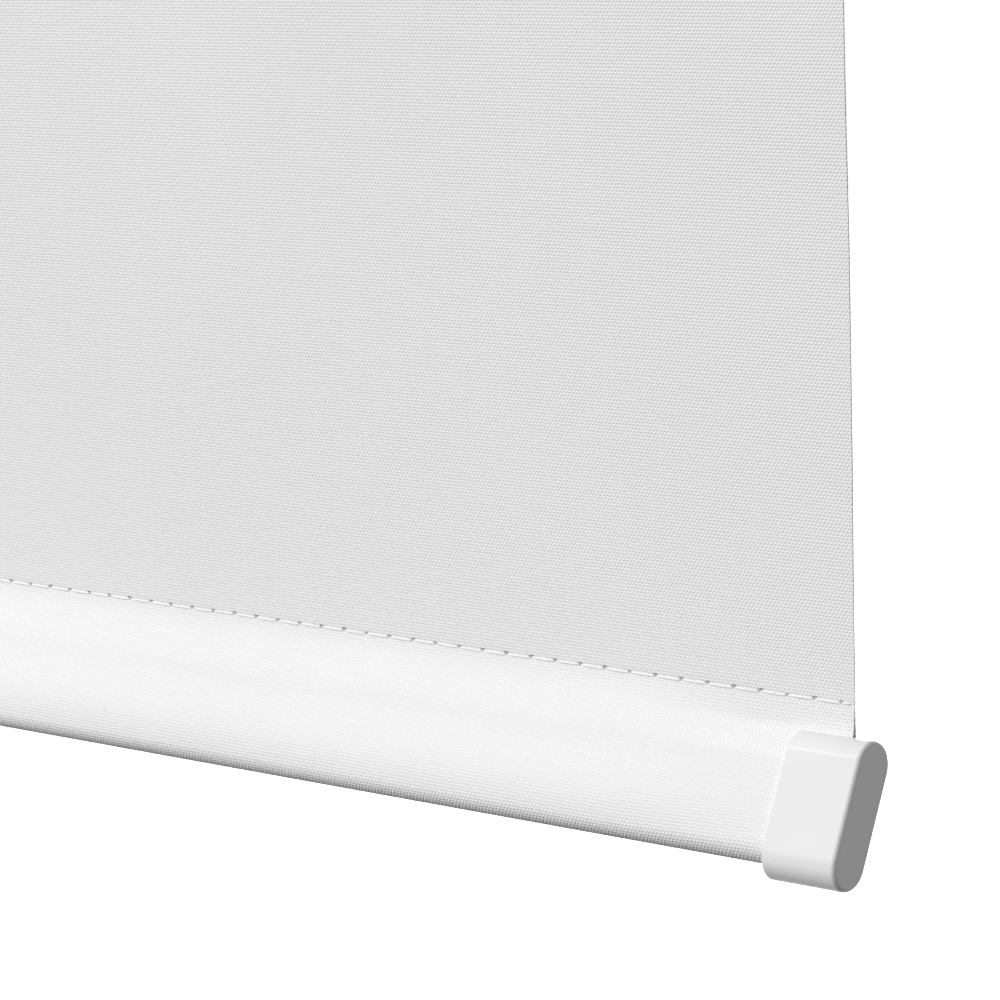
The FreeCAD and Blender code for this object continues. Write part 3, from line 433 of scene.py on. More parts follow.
def seam_thread(hem):
    """Twisted polyester thread, with painted shade in the low parts of its twist and painted light on
    its crowns.
    """
    made = Finish("seam_thread", hem.thread_tone, 0.55)
    twist = made.add("ShaderNodeTexWave", wave_type="BANDS", bands_direction="DIAGONAL")
    made.feed(twist.inputs["Vector"], made.place())
    twist.inputs["Scale"].default_value = 1100.0
    twist.inputs["Distortion"].default_value = 0.6
    fibres = made.cloud(made.place(), 5200.0, 2.0)
    height = made.math("ADD", twist.outputs["Fac"], fibres)
    # Colour follows the bump's height: painted shade in the twist's low parts, painted light on its
    # crowns.
    tone = made.scaled((*hem.thread_tone,), made.spread(height, (0.3, 1.6), (0.94, 1.02)))
    return made.finish(tone, normal=made.bump(height, 0.012 * MM))


def moulded(name, tone, roughness, grain, scale=2600.0):
    """Moulded plastic with a fine skin and slight unevenness of its gloss."""
    made = Finish(name, tone, roughness)
    skin = made.cloud(made.place(), scale, 2.0)
    sink = made.cloud(made.place(), 90.0, 1.0)
    gloss = made.cloud(made.place(), 260.0, 3.0)
    worn = made.spread(gloss, (0.35, 0.7), (0.94 * roughness, 1.08 * roughness))
    shaded = made.scaled((*tone,), made.spread(sink, NOISE_RANGE, (0.985, 1.01)))
    normal = made.bump(sink, 0.03 * MM, 0.5)
    normal = made.bump(skin, grain, 0.6, normal)
    return made.finish(shaded, worn, normal)


def drawn_metal(name, tone, roughness, stretch, depth):
    """Metal whose fine marks run along its own way of working."""
    made = Finish(name, tone, roughness, Metallic=1.0)
    marks = made.cloud(made.stretched(stretch), 1.0, 3.0, 0.6)
    stain = made.cloud(made.place(), 45.0, 2.0)
    worn = made.spread(marks, NOISE_RANGE, (0.75 * roughness, 1.35 * roughness))
    shaded = made.scaled((*tone,), made.spread(stain, NOISE_RANGE, (0.93, 1.04)))
    return made.finish(shaded, worn, made.bump(marks, depth, 0.5))


def zinc_plate(tone):
    """Zinc plate with a faint crystal pattern and rolled marks."""
    made = Finish("zinc_plate", tone, 0.36, Metallic=1.0)
    crystal = made.add("ShaderNodeTexVoronoi", feature="F1", distance="CHEBYCHEV")
    made.feed(crystal.inputs["Vector"], made.stretched((1.0, 1.0, 0.6)))
    crystal.inputs["Scale"].default_value = 420.0
    facet = made.split(crystal.outputs["Color"])[0]
    rolled = made.cloud(made.stretched((300.0, 300.0, 4000.0)), 1.0, 2.0)
    worn = made.spread(facet, (0.0, 1.0), (0.28, 0.46))
    shaded = made.scaled((*tone,), made.spread(facet, (0.0, 1.0), (0.90, 1.06)))
    return made.finish(shaded, worn, made.bump(rolled, 0.01 * MM, 0.5))


def fitting_materials(metal):
    """Finishes of the frame's own nodes, by their slot."""
    round_shaft = (6000.0, 400.0, 400.0)
    along_tube = (25.0, 3500.0, 3500.0)
    all_ways = (900.0, 900.0, 900.0)
    return {
        "bracket_steel": zinc_plate(metal.zinc),
        "bright_steel": drawn_metal("turned_steel", metal.steel, 0.3, round_shaft, 0.01 * MM),
        "tube_aluminium": drawn_metal(
            "drawn_aluminium", metal.aluminium, 0.34, along_tube, 0.012 * MM
        ),
        "spring_steel": drawn_metal("spring_wire", metal.spring, 0.32, all_ways, 0.01 * MM),
        "moulded_white": moulded("moulded_white", metal.moulding, 0.42, 0.012 * MM),
        "natural_nylon": moulded("natural_nylon", metal.nylon, 0.38, 0.008 * MM),
        "white_vinyl": moulded("white_vinyl", metal.vinyl, 0.5, 0.01 * MM),
    }


# Building


def mesh_of(name, bm):
    mesh = bpy.data.meshes.new(name)
    bm.to_mesh(mesh)
    bm.free()
    return mesh


def put(name, data):
    """Adds an object to the scene."""
    made = bpy.data.objects.new(name, data)
    bpy.context.scene.collection.objects.link(made)
    return made


def piece(name, bm, node, material, sharp=None):
    """Makes a mesh a piece of the shade, with a material and the body of a node."""
    mesh = mesh_of(name, bm)
    mesh.materials.append(material)
    mesh.shade_smooth()
    if sharp is not None:
        mesh.set_sharp_from_angle(angle=math.radians(sharp))
    made = put(name, mesh)
    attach(made, BODY_OF[node])
    return made


def flatten_normals(made):
    """Keeps flat faces flat next to their rounded edges."""
    weighted = made.modifiers.new("flat_faces", "WEIGHTED_NORMAL")
    weighted.keep_sharp = True
    weighted.weight = 100


def applied(made):
    """Applies a piece's modifiers to its mesh."""
    graph = bpy.context.evaluated_depsgraph_get()
    mesh = bpy.data.meshes.new_from_object(made.evaluated_get(graph))
    made.modifiers.clear()
    made.data = mesh


def bevelled(made, name, width, degrees):
    """Adds a bevel on the edges where a piece's faces turn by more than an angle."""
    edge = made.modifiers.new(name, "BEVEL")
    edge.width = width
    edge.segments = 2
    edge.limit_method = "ANGLE"
    edge.angle_limit = math.radians(degrees)
    return edge


def smoothstep(value):
    value = min(max(value, 0.0), 1.0)
    return value * value * (3.0 - 2.0 * value)


def across_cloth(share_of_width):
    """X at a share of the cloth's width, from its left edge to its right one."""
    return (share_of_width - 0.5) * 2 * CLOTH_HALF


def cloth_grid(columns, rows, place, measure):
    """Flat grid laid out by place(across, along), which keeps its flat lengths for the weave."""
    bm = bmesh.new()
    weave = bm.loops.layers.uv.new("weave")
    bmesh.ops.create_grid(bm, x_segments=columns, y_segments=rows, size=0.5)
    spots = {vert: (vert.co.x + 0.5, vert.co.y + 0.5) for vert in bm.verts}
    for face in bm.faces:
        for loop in face.loops:
            across, along = spots[loop.vert]
            loop[weave].uv = (across_cloth(across), measure(along))
    for vert, (across, along) in spots.items():
        vert.co = place(across, along)
    return bm


def cloth_piece(name, bm, node, thickness):
    """Makes a sheet a piece of cloth, with its thickness and softly rounded cut edges."""
    made = piece(name, bm, node, bpy.data.materials["woven_cloth"])
    skin = made.modifiers.new("thickness", "SOLIDIFY")
    skin.thickness = thickness
    skin.offset = 0.0
    skin.use_even_offset = True
    skin.use_quality_normals = True
    rounded = thickness * 0.4
    bevelled(made, "soft_edge", rounded, 60)
    applied(made)
    flatten_normals(made)
    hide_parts(node)
    return made


def hem_place(hem):
    """From the bar's own lean to the room: local Z runs up the bar, local -Y is its front."""
    return Matrix.Translation(Vector((0.0, BAR.y, BAR.z))) @ Matrix.Rotation(-hem.lean, 4, "X")


def seam_level(hem):
    return BAR.z + hem.seam_above


def arc(centre, radius, start, end, count):
    """Points on an arc in the bar's section, without its first one. Angles in degrees from +Y."""
    points = []
    for step in range(1, count + 1):
        turn = math.radians(start + (end - start) * step / count)
        points.append(centre + Vector((0.0, math.cos(turn), math.sin(turn))) * radius)
    return points


def on_arc(centre, radius, degrees):
    return arc(centre, radius, degrees, degrees, 1)[0]


def line(begin, end, count):
    return [begin.lerp(end, step / count) for step in range(1, count + 1)]


def curve(begin, lead, follow, end, count):
    """Points on a smooth bend, without its first one."""
    points = []
    for step in range(1, count + 1):
        t = step / count
        start_half = begin * (1 - t) ** 3 + lead * 3 * t * (1 - t) ** 2
        points.append(start_half + follow * 3 * t * t * (1 - t) + end * t**3)
    return points


def touch(away, centre, radius, side):
    """Angle, in degrees from +Y, at which a line from a point touches a circle's front or back."""
    arm = away - centre
    turn = math.degrees(math.acos(radius / arm.length))
    return math.degrees(math.atan2(arm.z, arm.y)) - side * turn


# Rows of the pocket's grid
RAW_ROWS = 4
RUN_ROWS = 12
OPEN_ROWS = 16
TOUCH_ROWS = 5
FRONT_ROWS = 14
BEND_ROWS = 20
BACK_ROWS = 8


def pocket_sections(hem):
    """The pocket's section, open over the bar and drawn together in the caps, in the bar's lean."""
    lean_share = 0.4
    above_seam, above_bar = 3.4, 3.2
    front_share, back_share = 0.7, 0.3
    bend_share = 0.8
    to_bar = hem_place(hem).inverted()
    radius = hem.bar_thickness / 2 + hem.ease + CLOTH_THICKNESS / 2
    rise = (hem.bar_height - hem.bar_thickness) / 2
    top, bottom = Vector((0.0, 0.0, rise)), Vector((0.0, 0.0, -rise))
    front, behind = Vector((0.0, -radius, 0.0)), Vector((0.0, radius, 0.0))
    level = seam_level(hem)
    seam = to_bar @ Vector((0.0, CLOTH_Y, level))
    back_seam = to_bar @ Vector((0.0, CLOTH_Y + LAYER_STEP, level))
    raw = to_bar @ Vector((0.0, CLOTH_Y + LAYER_STEP, level + hem.raw_edge))
    hang_turn = hem.lean * lean_share
    hang = to_bar.to_3x3() @ Vector((0.0, -math.sin(hang_turn), -math.cos(hang_turn)))
    throat_front = Vector((0.0, -hem.throat_gap * front_share, hem.throat_height))
    throat_back = Vector((0.0, hem.throat_gap * back_share, hem.throat_height))

    leave = seam + hang * above_seam * MM
    meet = top + front + Vector((0.0, 0.0, above_bar * MM))
    open_front = [seam] + curve(seam, leave, meet, top + front, OPEN_ROWS)
    back_touch = arc(top, radius, 0.0, touch(back_seam, top, radius, 1), TOUCH_ROWS)
    rest = OPEN_ROWS - TOUCH_ROWS
    open_back = [top + behind] + back_touch + line(back_touch[-1], back_seam, rest)
    front_angle = touch(throat_front, top, radius, -1)
    drawn_front = [seam] + line(seam, throat_front, RUN_ROWS)
    drawn_front += line(throat_front, on_arc(top, radius, front_angle), RUN_ROWS)
    drawn_front += arc(top, radius, front_angle, 180.0, RUN_ROWS)
    back_angle = touch(throat_back, top, radius, 1)
    drawn_back = [top + behind] + arc(top, radius, 0.0, back_angle, RUN_ROWS)
    drawn_back += line(drawn_back[-1], throat_back, RUN_ROWS)
    drawn_back += line(throat_back, back_seam, RUN_ROWS)

    def round_bar(turn):
        """Down the front, which turns in before the bar's lower end, and round to the back."""
        low = 180.0 + math.degrees(turn)
        meets = on_arc(bottom, radius, low)
        fall = Vector((0.0, 0.0, -rise))
        turned = Vector((0.0, math.sin(turn), -math.cos(turn))) * rise
        begins, ends = top + front + fall * bend_share, meets - turned * bend_share
        down = curve(top + front, begins, ends, meets, FRONT_ROWS)
        below = arc(bottom, radius, low, 360.0, BEND_ROWS)
        return down + below + line(bottom + behind, top + behind, BACK_ROWS)[:-1]

    tail = line(back_seam, raw, RAW_ROWS)
    wide = open_front + round_bar(hem.round_in) + open_back + tail
    turn_in_caps = hem.round_in / 4
    drawn = paced(drawn_front, open_front) + round_bar(turn_in_caps)
    drawn += paced(drawn_back, open_back) + tail
    return wide, drawn


def paced(points, like):
    """As many points along a path as another path has, at the same shares of its length."""
    own, other = run_lengths(points), run_lengths(like)
    last = len(own) - 1
    spots = []
    for run in other:
        wanted = run / other[-1] * own[-1]
        step = next((number for number in range(1, last) if own[number] >= wanted), last)
        part = (wanted - own[step - 1]) / (own[step] - own[step - 1])
        spots.append(points[step - 1].lerp(points[step], min(part, 1.0)))
    return spots


def run_lengths(points):
    """Length of cloth from the first point to each point."""
    lengths = [0.0]
    for before, after in zip(points, points[1:]):
        lengths.append(lengths[-1] + (after - before).length)
    return lengths


def back_seam_run(hem):
    """Length of cloth from the seam round the bar and back up to it."""
    wide = pocket_sections(hem)[0]
    return run_lengths(wide)[-1 - RAW_ROWS]


def new_verts(grown):
    """Vertices that an extrusion made."""
    return [item for item in grown["geom"] if isinstance(item, bmesh.types.BMVert)]


def edges_among(bm, verts):
    return [edge for edge in bm.edges if all(vert in verts for vert in edge.verts)]


def close_holes(bm):
    rims = [edge for edge in bm.edges if edge.is_boundary]
    bmesh.ops.holes_fill(bm, edges=rims, sides=0)


def round_edges(bm, edges, radius, segments, **settings):
    bmesh.ops.bevel(
        bm, geom=edges, offset=radius, offset_type="OFFSET", segments=segments, profile=0.5,
        affect="EDGES", material=-1, **settings,
    )


class ShadeOperator:
    """What the building steps share."""

    bl_options = {"REGISTER", "UNDO"}

    def execute(self, context):
        self.build(context.scene)
        return {"FINISHED"}


class ROLLER_SHADE_OT_stage(ShadeOperator, bpy.types.Operator):
    """Pale floor, soft lights and the camera"""

    bl_idname = "roller_shade.stage"
    bl_label = "Floor, Lights and Camera"
    lit_height = -0.7
    floor_radius = 14.0
    fade_from, fade_to = (2.0, 6.0), (0.30, 1.0)
    floor_tone = (0.80, 0.80, 0.80, 1.0)
    floor_cast = (0.07, 0.07, 0.07, 1.0)

    def build(self, scene):
        stage = scene.shade_stage
        self.floor(stage)
        self.world(scene, stage)
        key = self.lamp("key_light", stage.key_power, (-0.45, -0.765, 0.48), distance=6.0, size=4.4)
        key.visible_glossy = False
        self.lamp("glint_light", stage.glint_power, (-0.571, -0.544, 0.616), distance=3.0, size=0.3)
        self.lamp("back_light", stage.back_power, (-0.35, 0.90, 0.14), distance=6.0, size=3.2)
        self.lamp("side_light", stage.side_power, (0.97, -0.10, 0.20), distance=3.0, size=1.6)
        self.camera(scene, stage)
        scene.view_settings.view_transform = "Standard"

    def floor(self, stage):
        bm = bmesh.new()
        bmesh.ops.create_circle(bm, cap_ends=True, segments=96, radius=self.floor_radius)
        bmesh.ops.translate(bm, vec=(0.0, 0.0, -stage.floor_drop), verts=bm.verts)
        mesh = mesh_of("floor", bm)
        mesh.materials.append(self.floor_material())
        put("floor", mesh)

    def floor_material(self):
        """Pale and matt, and seen as near white wherever no shadow falls."""
        material = bpy.data.materials.new("pale_floor")
        material.use_nodes = True
        made = Tree(material.node_tree)
        made.tree.nodes.clear()
        fade = made.spread(made.distance(made.place()), self.fade_from, self.fade_to)
        glow = made.add("ShaderNodeEmission", None, fade).outputs[0]
        pale = made.add("ShaderNodeBsdfDiffuse", self.floor_tone).outputs[0]
        seen = made.add("ShaderNodeAddShader", pale, glow).outputs[0]
        cast = made.add("ShaderNodeBsdfDiffuse", self.floor_cast).outputs[0]
        mix = made.add("ShaderNodeMixShader", made.direct_look(), cast, seen).outputs[0]
        made.add("ShaderNodeOutputMaterial", mix)
        return material

    def world(self, scene, stage):
        world = bpy.data.worlds.new("studio")
        scene.world = world
        world.use_nodes = True
        made = Tree(world.node_tree)
        made.tree.nodes.clear()
        soft = made.add("ShaderNodeBackground", PURE_WHITE, stage.ambient).outputs[0]
        white = made.add("ShaderNodeBackground", PURE_WHITE, 1.0).outputs[0]
        mix = made.add("ShaderNodeMixShader", made.direct_look(), soft, white).outputs[0]
        made.add("ShaderNodeOutputWorld", mix)

    def lamp(self, name, watts, towards, distance, size):
        """A round soft light that shines on the shade from a direction."""
        data = bpy.data.lights.new(name, "AREA")
        data.energy = watts
        data.shape = "DISK"
        data.size = size
        lamp = put(name, data)
        away = Vector(towards).normalized()
        spot = Vector((0.0, CLOTH_Y, self.lit_height)) + away * distance
        turn = away.to_track_quat("Z", "Y").to_matrix().to_4x4()
        lamp.matrix_world = Matrix.Translation(spot) @ turn
        return lamp

    def camera(self, scene, stage):
        yaw, pitch, roll = stage.yaw, stage.pitch, stage.roll
        level = math.cos(pitch)
        ahead = Vector((math.sin(yaw) * level, math.cos(yaw) * level, math.sin(pitch)))
        right = Vector((math.cos(yaw), -math.sin(yaw), 0.0))
        above = right.cross(ahead)
        side = right * math.cos(roll) + above * math.sin(roll)
        above = above * math.cos(roll) - right * math.sin(roll)
        data = bpy.data.cameras.new("camera")
        data.lens = stage.focal_length
        data.sensor_width = 36.0
        data.clip_start = 0.01
        scene.camera = put("camera", data)
        turn = Matrix((side, above, -ahead)).transposed().to_4x4()
        spot = (stage.camera_x, stage.camera_y, stage.camera_z)
        scene.camera.matrix_world = Matrix.Translation(spot) @ turn


class ROLLER_SHADE_OT_cloth_panel(ShadeOperator, bpy.types.Operator):
    """Hanging cloth from the roller down to the seam"""

    bl_idname = "roller_shade.cloth_panel"
    bl_label = "Hanging Cloth"
    columns, rows = 122, 176
    ripple_row, ripple_stretch = 0.3, 0.35
    calm_low, calm_high = 0.06, 0.12
    edge_start, edge_run = 0.235, 0.07
    wave_start, wave_pitch = 0.812, 0.115

    def build(self, scene):
        cloth, hem = scene.shade_cloth, scene.shade_hem
        low, high = seam_level(hem), CLOTH_HIGH.z
        drop = high - low

        def place(across, along):
            x, z = across_cloth(across), low + along * drop
            calm = smoothstep((z - low) / self.calm_low) * smoothstep((high - z) / self.calm_high)
            spot = Vector((x, self.ripple_row, z * self.ripple_stretch))
            soft = noise.noise(spot / cloth.ripple_size)
            edge = smoothstep((abs(x) - self.edge_start) / self.edge_run)
            turn = 2 * math.pi * (z + self.wave_start) / self.wave_pitch
            wave = math.cos(turn) * edge * cloth.edge_wave
            sway = min(calm * (soft * 2 * cloth.ripple + wave), cloth.wall_sway)
            return Vector((x, CLOTH_Y + sway, z))

        def measure(along):
            return along * drop

        woven_cloth(cloth, hem, back_seam_run(hem))
        bm = cloth_grid(self.columns, self.rows, place, measure)
        panel = cloth_piece("cloth_panel", bm, "shade_cloth", cloth.thickness)
        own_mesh(panel)


class ROLLER_SHADE_OT_wound_cloth(ShadeOperator, bpy.types.Operator):
    """Cloth that stays on the roller when the shade is down"""

    bl_idname = "roller_shade.wound_cloth"
    bl_label = "Wound Cloth"
    columns, rows = 40, 216
    turns = 1.5
    past_panel = 0.9

    def build(self, scene):
        cloth, turns = scene.shade_cloth, self.turns
        outer = CLOTH_Y - AXIS.y
        inner = outer - cloth.wound_step
        run = 2 * math.pi * turns * outer

        def place(across, along):
            angle = along * turns * 2 * math.pi
            radius = max(outer - cloth.wound_step * along * turns, inner)
            spot = Vector((0.0, math.cos(angle) * radius, math.sin(angle) * radius))
            return spot + Vector((across_cloth(across), AXIS.y, AXIS.z))

        def measure(along):
            return 2 * CLOTH_HIGH.z + self.past_panel + along * run

        bm = cloth_grid(self.columns, self.rows, place, measure)
        wound = cloth_piece("wound_cloth", bm, "fabric_roll", cloth.thickness)


class ROLLER_SHADE_OT_hem_pocket(ShadeOperator, bpy.types.Operator):
    """Cloth pocket round the bar, drawn together where it enters the caps"""

    bl_idname = "roller_shade.hem_pocket"
    bl_label = "Hem Pocket"
    columns = 244

    def build(self, scene):
        cloth, hem = scene.shade_cloth, scene.shade_hem
        wide, drawn = pocket_sections(hem)
        lengths = run_lengths(wide)
        rows = len(wide) - 1
        to_room = hem_place(hem)
        start = CAP_MOUTH - hem.throat_run

        def place(across, along):
            row = round(along * rows)
            folded = hem.set_back * smoothstep(3 * row / rows - 1)
            x = (across - 0.5) * 2 * (CLOTH_HALF - folded)
            spot = wide[row].lerp(drawn[row], smoothstep((abs(x) - start) / hem.throat_run))
            return to_room @ (spot + Vector((x, 0.0, 0.0)))

        def measure(along):
            return -lengths[round(along * rows)]

        bm = cloth_grid(self.columns, rows, place, measure)
        pocket = cloth_piece("hem_pocket", bm, "hem_sleeve", cloth.thickness)


class ROLLER_SHADE_OT_seam(ShadeOperator, bpy.types.Operator):
    """Lockstitch through both layers, seen on the room side and on the wall side"""

    bl_idname = "roller_shade.seam"
    bl_label = "Seam Thread"
    seed = 7
    levels, leans = (-0.05, 0.03), (0.01, 0.035)
    last_stitch = 0.34
    rise = ((0.03, -0.8), (0.07, -0.4), (0.13, 0.0), (0.3, 0.3))
    fall = ((0.7, 0.3), (0.87, 0.0), (0.93, -0.4), (0.97, -0.8))

    def build(self, scene):
        hem = scene.shade_hem
        material = seam_thread(hem)
        face = scene.shade_cloth.thickness / 2
        stitches = int(2 * hem.stitch_first / hem.stitch_pitch)
        for name, outside, surface in (
            ("seam_thread_front", -1.0, CLOTH_Y - face),
            ("seam_thread_back", 1.0, CLOTH_Y + LAYER_STEP + face),
        ):
            single = self.stitch(hem, outside)
            bm = bmesh.new()
            chance = random.Random(self.seed)
            for number in range(stitches):
                x = hem.stitch_first - (number + 1) * hem.stitch_pitch
                level = seam_level(hem) + chance.uniform(*self.levels) * MM
                turn = Matrix.Rotation(chance.uniform(*self.leans), 4, "Y")
                self.lay(bm, single, Matrix.Translation((x, surface, level)) @ turn)
            short = Matrix.Scale(self.last_stitch, 4, (1, 0, 0))
            end = Matrix.Translation((hem.stitch_first, surface, seam_level(hem)))
            self.lay(bm, single, end @ short)
            bpy.data.meshes.remove(single)
            piece(name, bm, "hem_sleeve", material)

    def lay(self, bm, single, place):
        before = len(bm.verts)
        bm.from_mesh(single)
        bm.verts.ensure_lookup_table()
        bmesh.ops.transform(bm, matrix=place, verts=bm.verts[before:])

    def stitch(self, hem, outside):
        """One stitch from hole to hole: it rises from the cloth, lies flat and dives again."""
        radius = hem.thread_radius
        bm = bmesh.new()
        ring = bmesh.ops.create_circle(bm, segments=8, radius=radius)["verts"]
        bmesh.ops.rotate(bm, matrix=Matrix.Rotation(math.pi / 2, 3, "Y"), verts=ring)
        before = Vector((0.0, 0.0, 0.0))
        for number, (along, lift) in enumerate(self.rise + self.fall):
            spot = Vector((along * hem.stitch_pitch, outside * lift * radius, 0.0))
            if number > 0:
                ring = new_verts(bmesh.ops.extrude_edge_only(bm, edges=edges_among(bm, ring)))
            bmesh.ops.translate(bm, vec=spot - before, verts=ring)
            before = spot
        close_holes(bm)
        bmesh.ops.recalc_face_normals(bm, faces=bm.faces)
        return mesh_of("stitch", bm)


class ROLLER_SHADE_OT_hem_caps(ShadeOperator, bpy.types.Operator):
    """Glossy oval caps with a rounded end, a soft lip, a slot on top and prongs in the bar"""

    bl_idname = "roller_shade.hem_caps"
    bl_label = "Hem Caps"
    corner = 0.5
    segments = 96
    past_slot = 0.3 * MM
    prong_thickness, prong_height, prong_away = 3.1 * MM, 5.0 * MM, 3.4 * MM
    prong_rooted, prong_edge = 0.1 * MM, 0.4 * MM

    def build(self, scene):
        cap, hem = scene.shade_cap, scene.shade_hem
        material = moulded("glossy_cap", cap.tone, 0.22, 0.0008 * MM, 5200.0)
        for side, node in ((-1.0, "hem_cap_left"), (1.0, "hem_cap_right")):
            bm = self.shell(cap)
            self.prongs(bm, cap)
            if side < 0:
                bmesh.ops.scale(bm, vec=(-1.0, 1.0, 1.0), verts=bm.verts)
                bmesh.ops.reverse_faces(bm, faces=bm.faces)
            end = side * (CLOTH_HALF + cap.past_cloth)
            place = Matrix.Translation((end, 0.0, 0.0)) @ hem_place(hem)
            bmesh.ops.transform(bm, matrix=place, verts=bm.verts)
            made = piece(f"{node}_moulding", bm, node, material, sharp=38)
            flatten_normals(made)
            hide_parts(node)

    def shell(self, cap):
        """Cap along -X from its closed end at the origin."""
        depth = CLOTH_HALF + cap.past_cloth - CAP_MOUTH
        rise = (cap.height - cap.width) / 2
        bm = bmesh.new()
        bmesh.ops.create_circle(bm, cap_ends=True, segments=self.segments, radius=cap.width / 2)
        half_step = Matrix.Rotation(math.pi / self.segments, 3, "Z")
        bmesh.ops.rotate(bm, matrix=half_step, verts=bm.verts)
        for side, away in ((-1.0, -rise), (1.0, rise + cap.crown)):
            half = [vert for vert in bm.verts if vert.co.y * side > 0]
            bmesh.ops.translate(bm, vec=(0.0, away, 0.0), verts=half)
        turn = Matrix(((0.0, 0.0, 1.0), (1.0, 0.0, 0.0), (0.0, 1.0, 0.0)))
        bmesh.ops.rotate(bm, matrix=turn, verts=bm.verts)
        self.push(bm, bm.faces[:], -depth)
        bmesh.ops.recalc_face_normals(bm, faces=bm.faces)
        mouth = min(bm.faces, key=lambda face: face.calc_center_median().x)
        bmesh.ops.inset_region(bm, faces=[mouth], thickness=cap.wall, use_even_offset=True)
        round_edges(bm, self.rim(bm, -depth), cap.lip_round, 4, clamp_overlap=True)
        self.push(bm, [mouth], depth - cap.end_wall)
        bmesh.ops.delete(bm, geom=[mouth], context="FACES_ONLY")
        self.open_slot(bm, cap, rise)
        round_edges(bm, self.rim(bm, 0.0), cap.end_round, 7)
        bmesh.ops.recalc_face_normals(bm, faces=bm.faces)
        return bm

    def push(self, bm, faces, distance):
        """Extrudes faces along X."""
        grown = new_verts(bmesh.ops.extrude_face_region(bm, geom=faces))
        bmesh.ops.translate(bm, vec=(distance, 0.0, 0.0), verts=grown)

    def rim(self, bm, level):
        """Edges at one level along X at which the faces turn a corner."""
        verts = {vert for vert in bm.verts if abs(vert.co.x - level) < ON_PLANE}
        return [edge for edge in edges_among(bm, verts) if edge.calc_face_angle(0.0) > self.corner]

    def open_slot(self, bm, cap, rise):
        """Cuts the slot through the top, from the mouth inwards, and closes its cut walls."""
        half = cap.slot_width / 2
        stop = self.past_slot - cap.past_cloth
        sideways, lengthways = (0, 1, 0), (1, 0, 0)
        cuts = (((0, half, 0), sideways), ((0, -half, 0), sideways), ((stop, 0, 0), lengthways))
        for spot, normal in cuts:
            everything = bm.verts[:] + bm.edges[:] + bm.faces[:]
            bmesh.ops.bisect_plane(bm, geom=everything, plane_co=spot, plane_no=normal, dist=ON_PLANE)
        gone = []
        for face in bm.faces:
            centre = face.calc_center_median()
            if abs(centre.y) < half and centre.z > rise and centre.x < stop:
                gone.append(face)
        bmesh.ops.delete(bm, geom=gone, context="FACES")
        walls = [edge for edge in bm.edges if edge.is_boundary]
        for side in (-half, half):
            corner = []
            for vert in bm.verts:
                x, y, z = vert.co
                if abs(x - stop) < ON_PLANE and abs(y - side) < ON_PLANE and z > rise:
                    corner.append(vert)
            walls += bmesh.ops.contextual_create(bm, geom=corner)["edges"]
        bmesh.ops.edgenet_fill(bm, edges=walls)

    def prongs(self, bm, cap):
        """Two flat prongs with broken edges, one each side of the bar's web."""
        x = -cap.end_wall - cap.prong_length / 2 + self.prong_rooted
        size = (cap.prong_length, self.prong_thickness, self.prong_height, 1.0)
        for side in (-1.0, 1.0):
            place = Matrix.Translation((x, 0.0, side * self.prong_away)) @ Matrix.Diagonal(size)
            made = bmesh.ops.create_cube(bm, size=1.0, matrix=place)["verts"]
            round_edges(bm, edges_among(bm, made), self.prong_edge, 2)


class ROLLER_SHADE_OT_springs(ShadeOperator, bpy.types.Operator):
    """Winding spring inside the tube and the small spring behind the sprung pin"""

    bl_idname = "roller_shade.springs"
    bl_label = "Springs"
    wire_share = 0.98
    winding_wire, pin_wire = 1.5 * MM, 0.8 * MM

    def build(self, scene):
        metal = scene.shade_metal
        self.coil("winding_spring", "torsion_spring", self.winding_wire, metal.torsion_turns, 20)
        made = self.coil("pin_spring", "idler_spring", self.pin_wire, metal.idler_turns, 24)
        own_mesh(made)

    def coil(self, name, node, wire, turns, steps):
        """One turn spun about the roller's axis, then repeated along it."""
        low, high = corners(node)
        radius = (high.z - low.z) / 2 - wire / 2
        pitch = (high.x - low.x - wire) / turns
        start = Vector((low.x + wire / 2, AXIS.y, AXIS.z))
        bm = bmesh.new()
        ring = bmesh.ops.create_circle(bm, segments=8, radius=wire * self.wire_share / 2)["verts"]
        bmesh.ops.translate(bm, vec=start + Vector((0.0, radius, 0.0)), verts=ring)
        bmesh.ops.spin(
            bm, geom=bm.verts[:] + bm.edges[:], cent=start, axis=(1.0, 0.0, 0.0),
            dvec=(pitch / steps, 0.0, 0.0), angle=2 * math.pi, steps=steps, use_merge=False,
        )
        bmesh.ops.recalc_face_normals(bm, faces=bm.faces)
        made = piece(name, bm, node, bpy.data.materials["spring_wire"], sharp=60)
        repeat = made.modifiers.new("turns", "ARRAY")
        repeat.count = turns
        repeat.use_relative_offset = False
        repeat.use_constant_offset = True
        repeat.constant_offset_displace = (pitch, 0.0, 0.0)
        repeat.use_merge_vertices = True
        repeat.merge_threshold = wire / 100
        applied(made)
        bm = bmesh.new()
        bm.from_mesh(made.data)
        close_holes(bm)
        bm.to_mesh(made.data)
        bm.free()
        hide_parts(node)
        return made


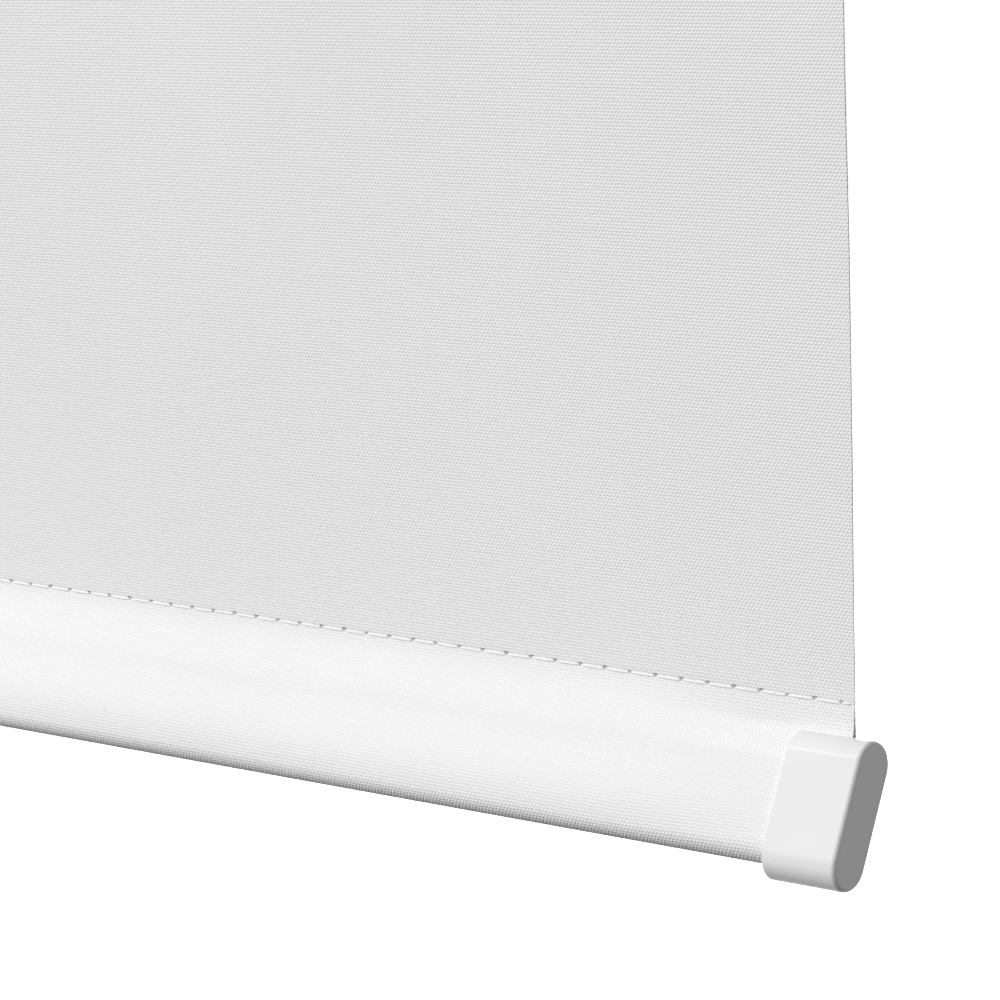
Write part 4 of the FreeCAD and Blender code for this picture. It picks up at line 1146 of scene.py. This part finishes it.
class ROLLER_SHADE_OT_fittings(ShadeOperator, bpy.types.Operator):
    """Brackets, tube, plugs, pawls and shafts, with broken edges and their own finishes"""

    bl_idname = "roller_shade.fittings"
    bl_label = "Fittings"
    coiled = ("torsion_spring", "idler_spring")

    def build(self, scene):
        metal = scene.shade_metal
        finishes = fitting_materials(metal)
        for node, made in frame["nodes"].items():
            slot = SLOT_OF[node]
            if slot in finishes:
                made.data.materials.clear()
                made.data.materials.append(finishes[slot])
                if node not in self.coiled:
                    self.dress(node, made, metal.bevel, finishes[slot])

    def dress(self, node, source, bevel, material):
        """A copy of the node with merged faces, broken edges and smooth rounds."""
        flat = math.radians(0.5)
        bm = bmesh.new()
        bm.from_mesh(source.data)
        bmesh.ops.remove_doubles(bm, verts=bm.verts, dist=MERGE)
        bmesh.ops.dissolve_limit(
            bm, angle_limit=flat, verts=bm.verts, edges=bm.edges, use_dissolve_boundaries=False
        )
        bmesh.ops.recalc_face_normals(bm, faces=bm.faces)
        made = piece(f"{node}_dressed", bm, node, material, sharp=30)
        edge = bevelled(made, "broken_edges", bevel, 50)
        edge.miter_outer = "MITER_ARC"
        flatten_normals(made)
        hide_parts(node)


STEPS = (
    ROLLER_SHADE_OT_stage,
    ROLLER_SHADE_OT_cloth_panel,
    ROLLER_SHADE_OT_wound_cloth,
    ROLLER_SHADE_OT_hem_pocket,
    ROLLER_SHADE_OT_seam,
    ROLLER_SHADE_OT_hem_caps,
    ROLLER_SHADE_OT_fittings,
    ROLLER_SHADE_OT_springs,
)
SETTINGS = {
    "shade_cloth": ShadeClothSettings,
    "shade_hem": ShadeHemSettings,
    "shade_cap": ShadeCapSettings,
    "shade_metal": ShadeMetalSettings,
    "shade_stage": ShadeStageSettings,
}


class ROLLER_SHADE_PT_sidebar(bpy.types.Panel):
    """Lists the building steps and their sizes"""

    bl_label = "Roller Shade"
    bl_space_type = "VIEW_3D"
    bl_region_type = "UI"
    bl_category = "Roller Shade"

    def draw(self, context):
        for step in STEPS:
            self.layout.operator(step.bl_idname)
        for name, group in SETTINGS.items():
            box = self.layout.box()
            box.label(text=group.__doc__)
            settings = getattr(context.scene, name)
            for prop in group.__annotations__:
                box.prop(settings, prop)


CLASSES = (*SETTINGS.values(), *STEPS, ROLLER_SHADE_PT_sidebar)


def register():
    for item in CLASSES:
        bpy.utils.register_class(item)
    for name, group in SETTINGS.items():
        setattr(bpy.types.Scene, name, PointerProperty(type=group))


def unregister():
    for name in SETTINGS:
        delattr(bpy.types.Scene, name)
    for item in reversed(CLASSES):
        bpy.utils.unregister_class(item)


def main():
    register()
    for step in STEPS:
        family, name = step.bl_idname.split(".")
        getattr(getattr(bpy.ops, family), name)()


if __name__ == "__main__":
    main()
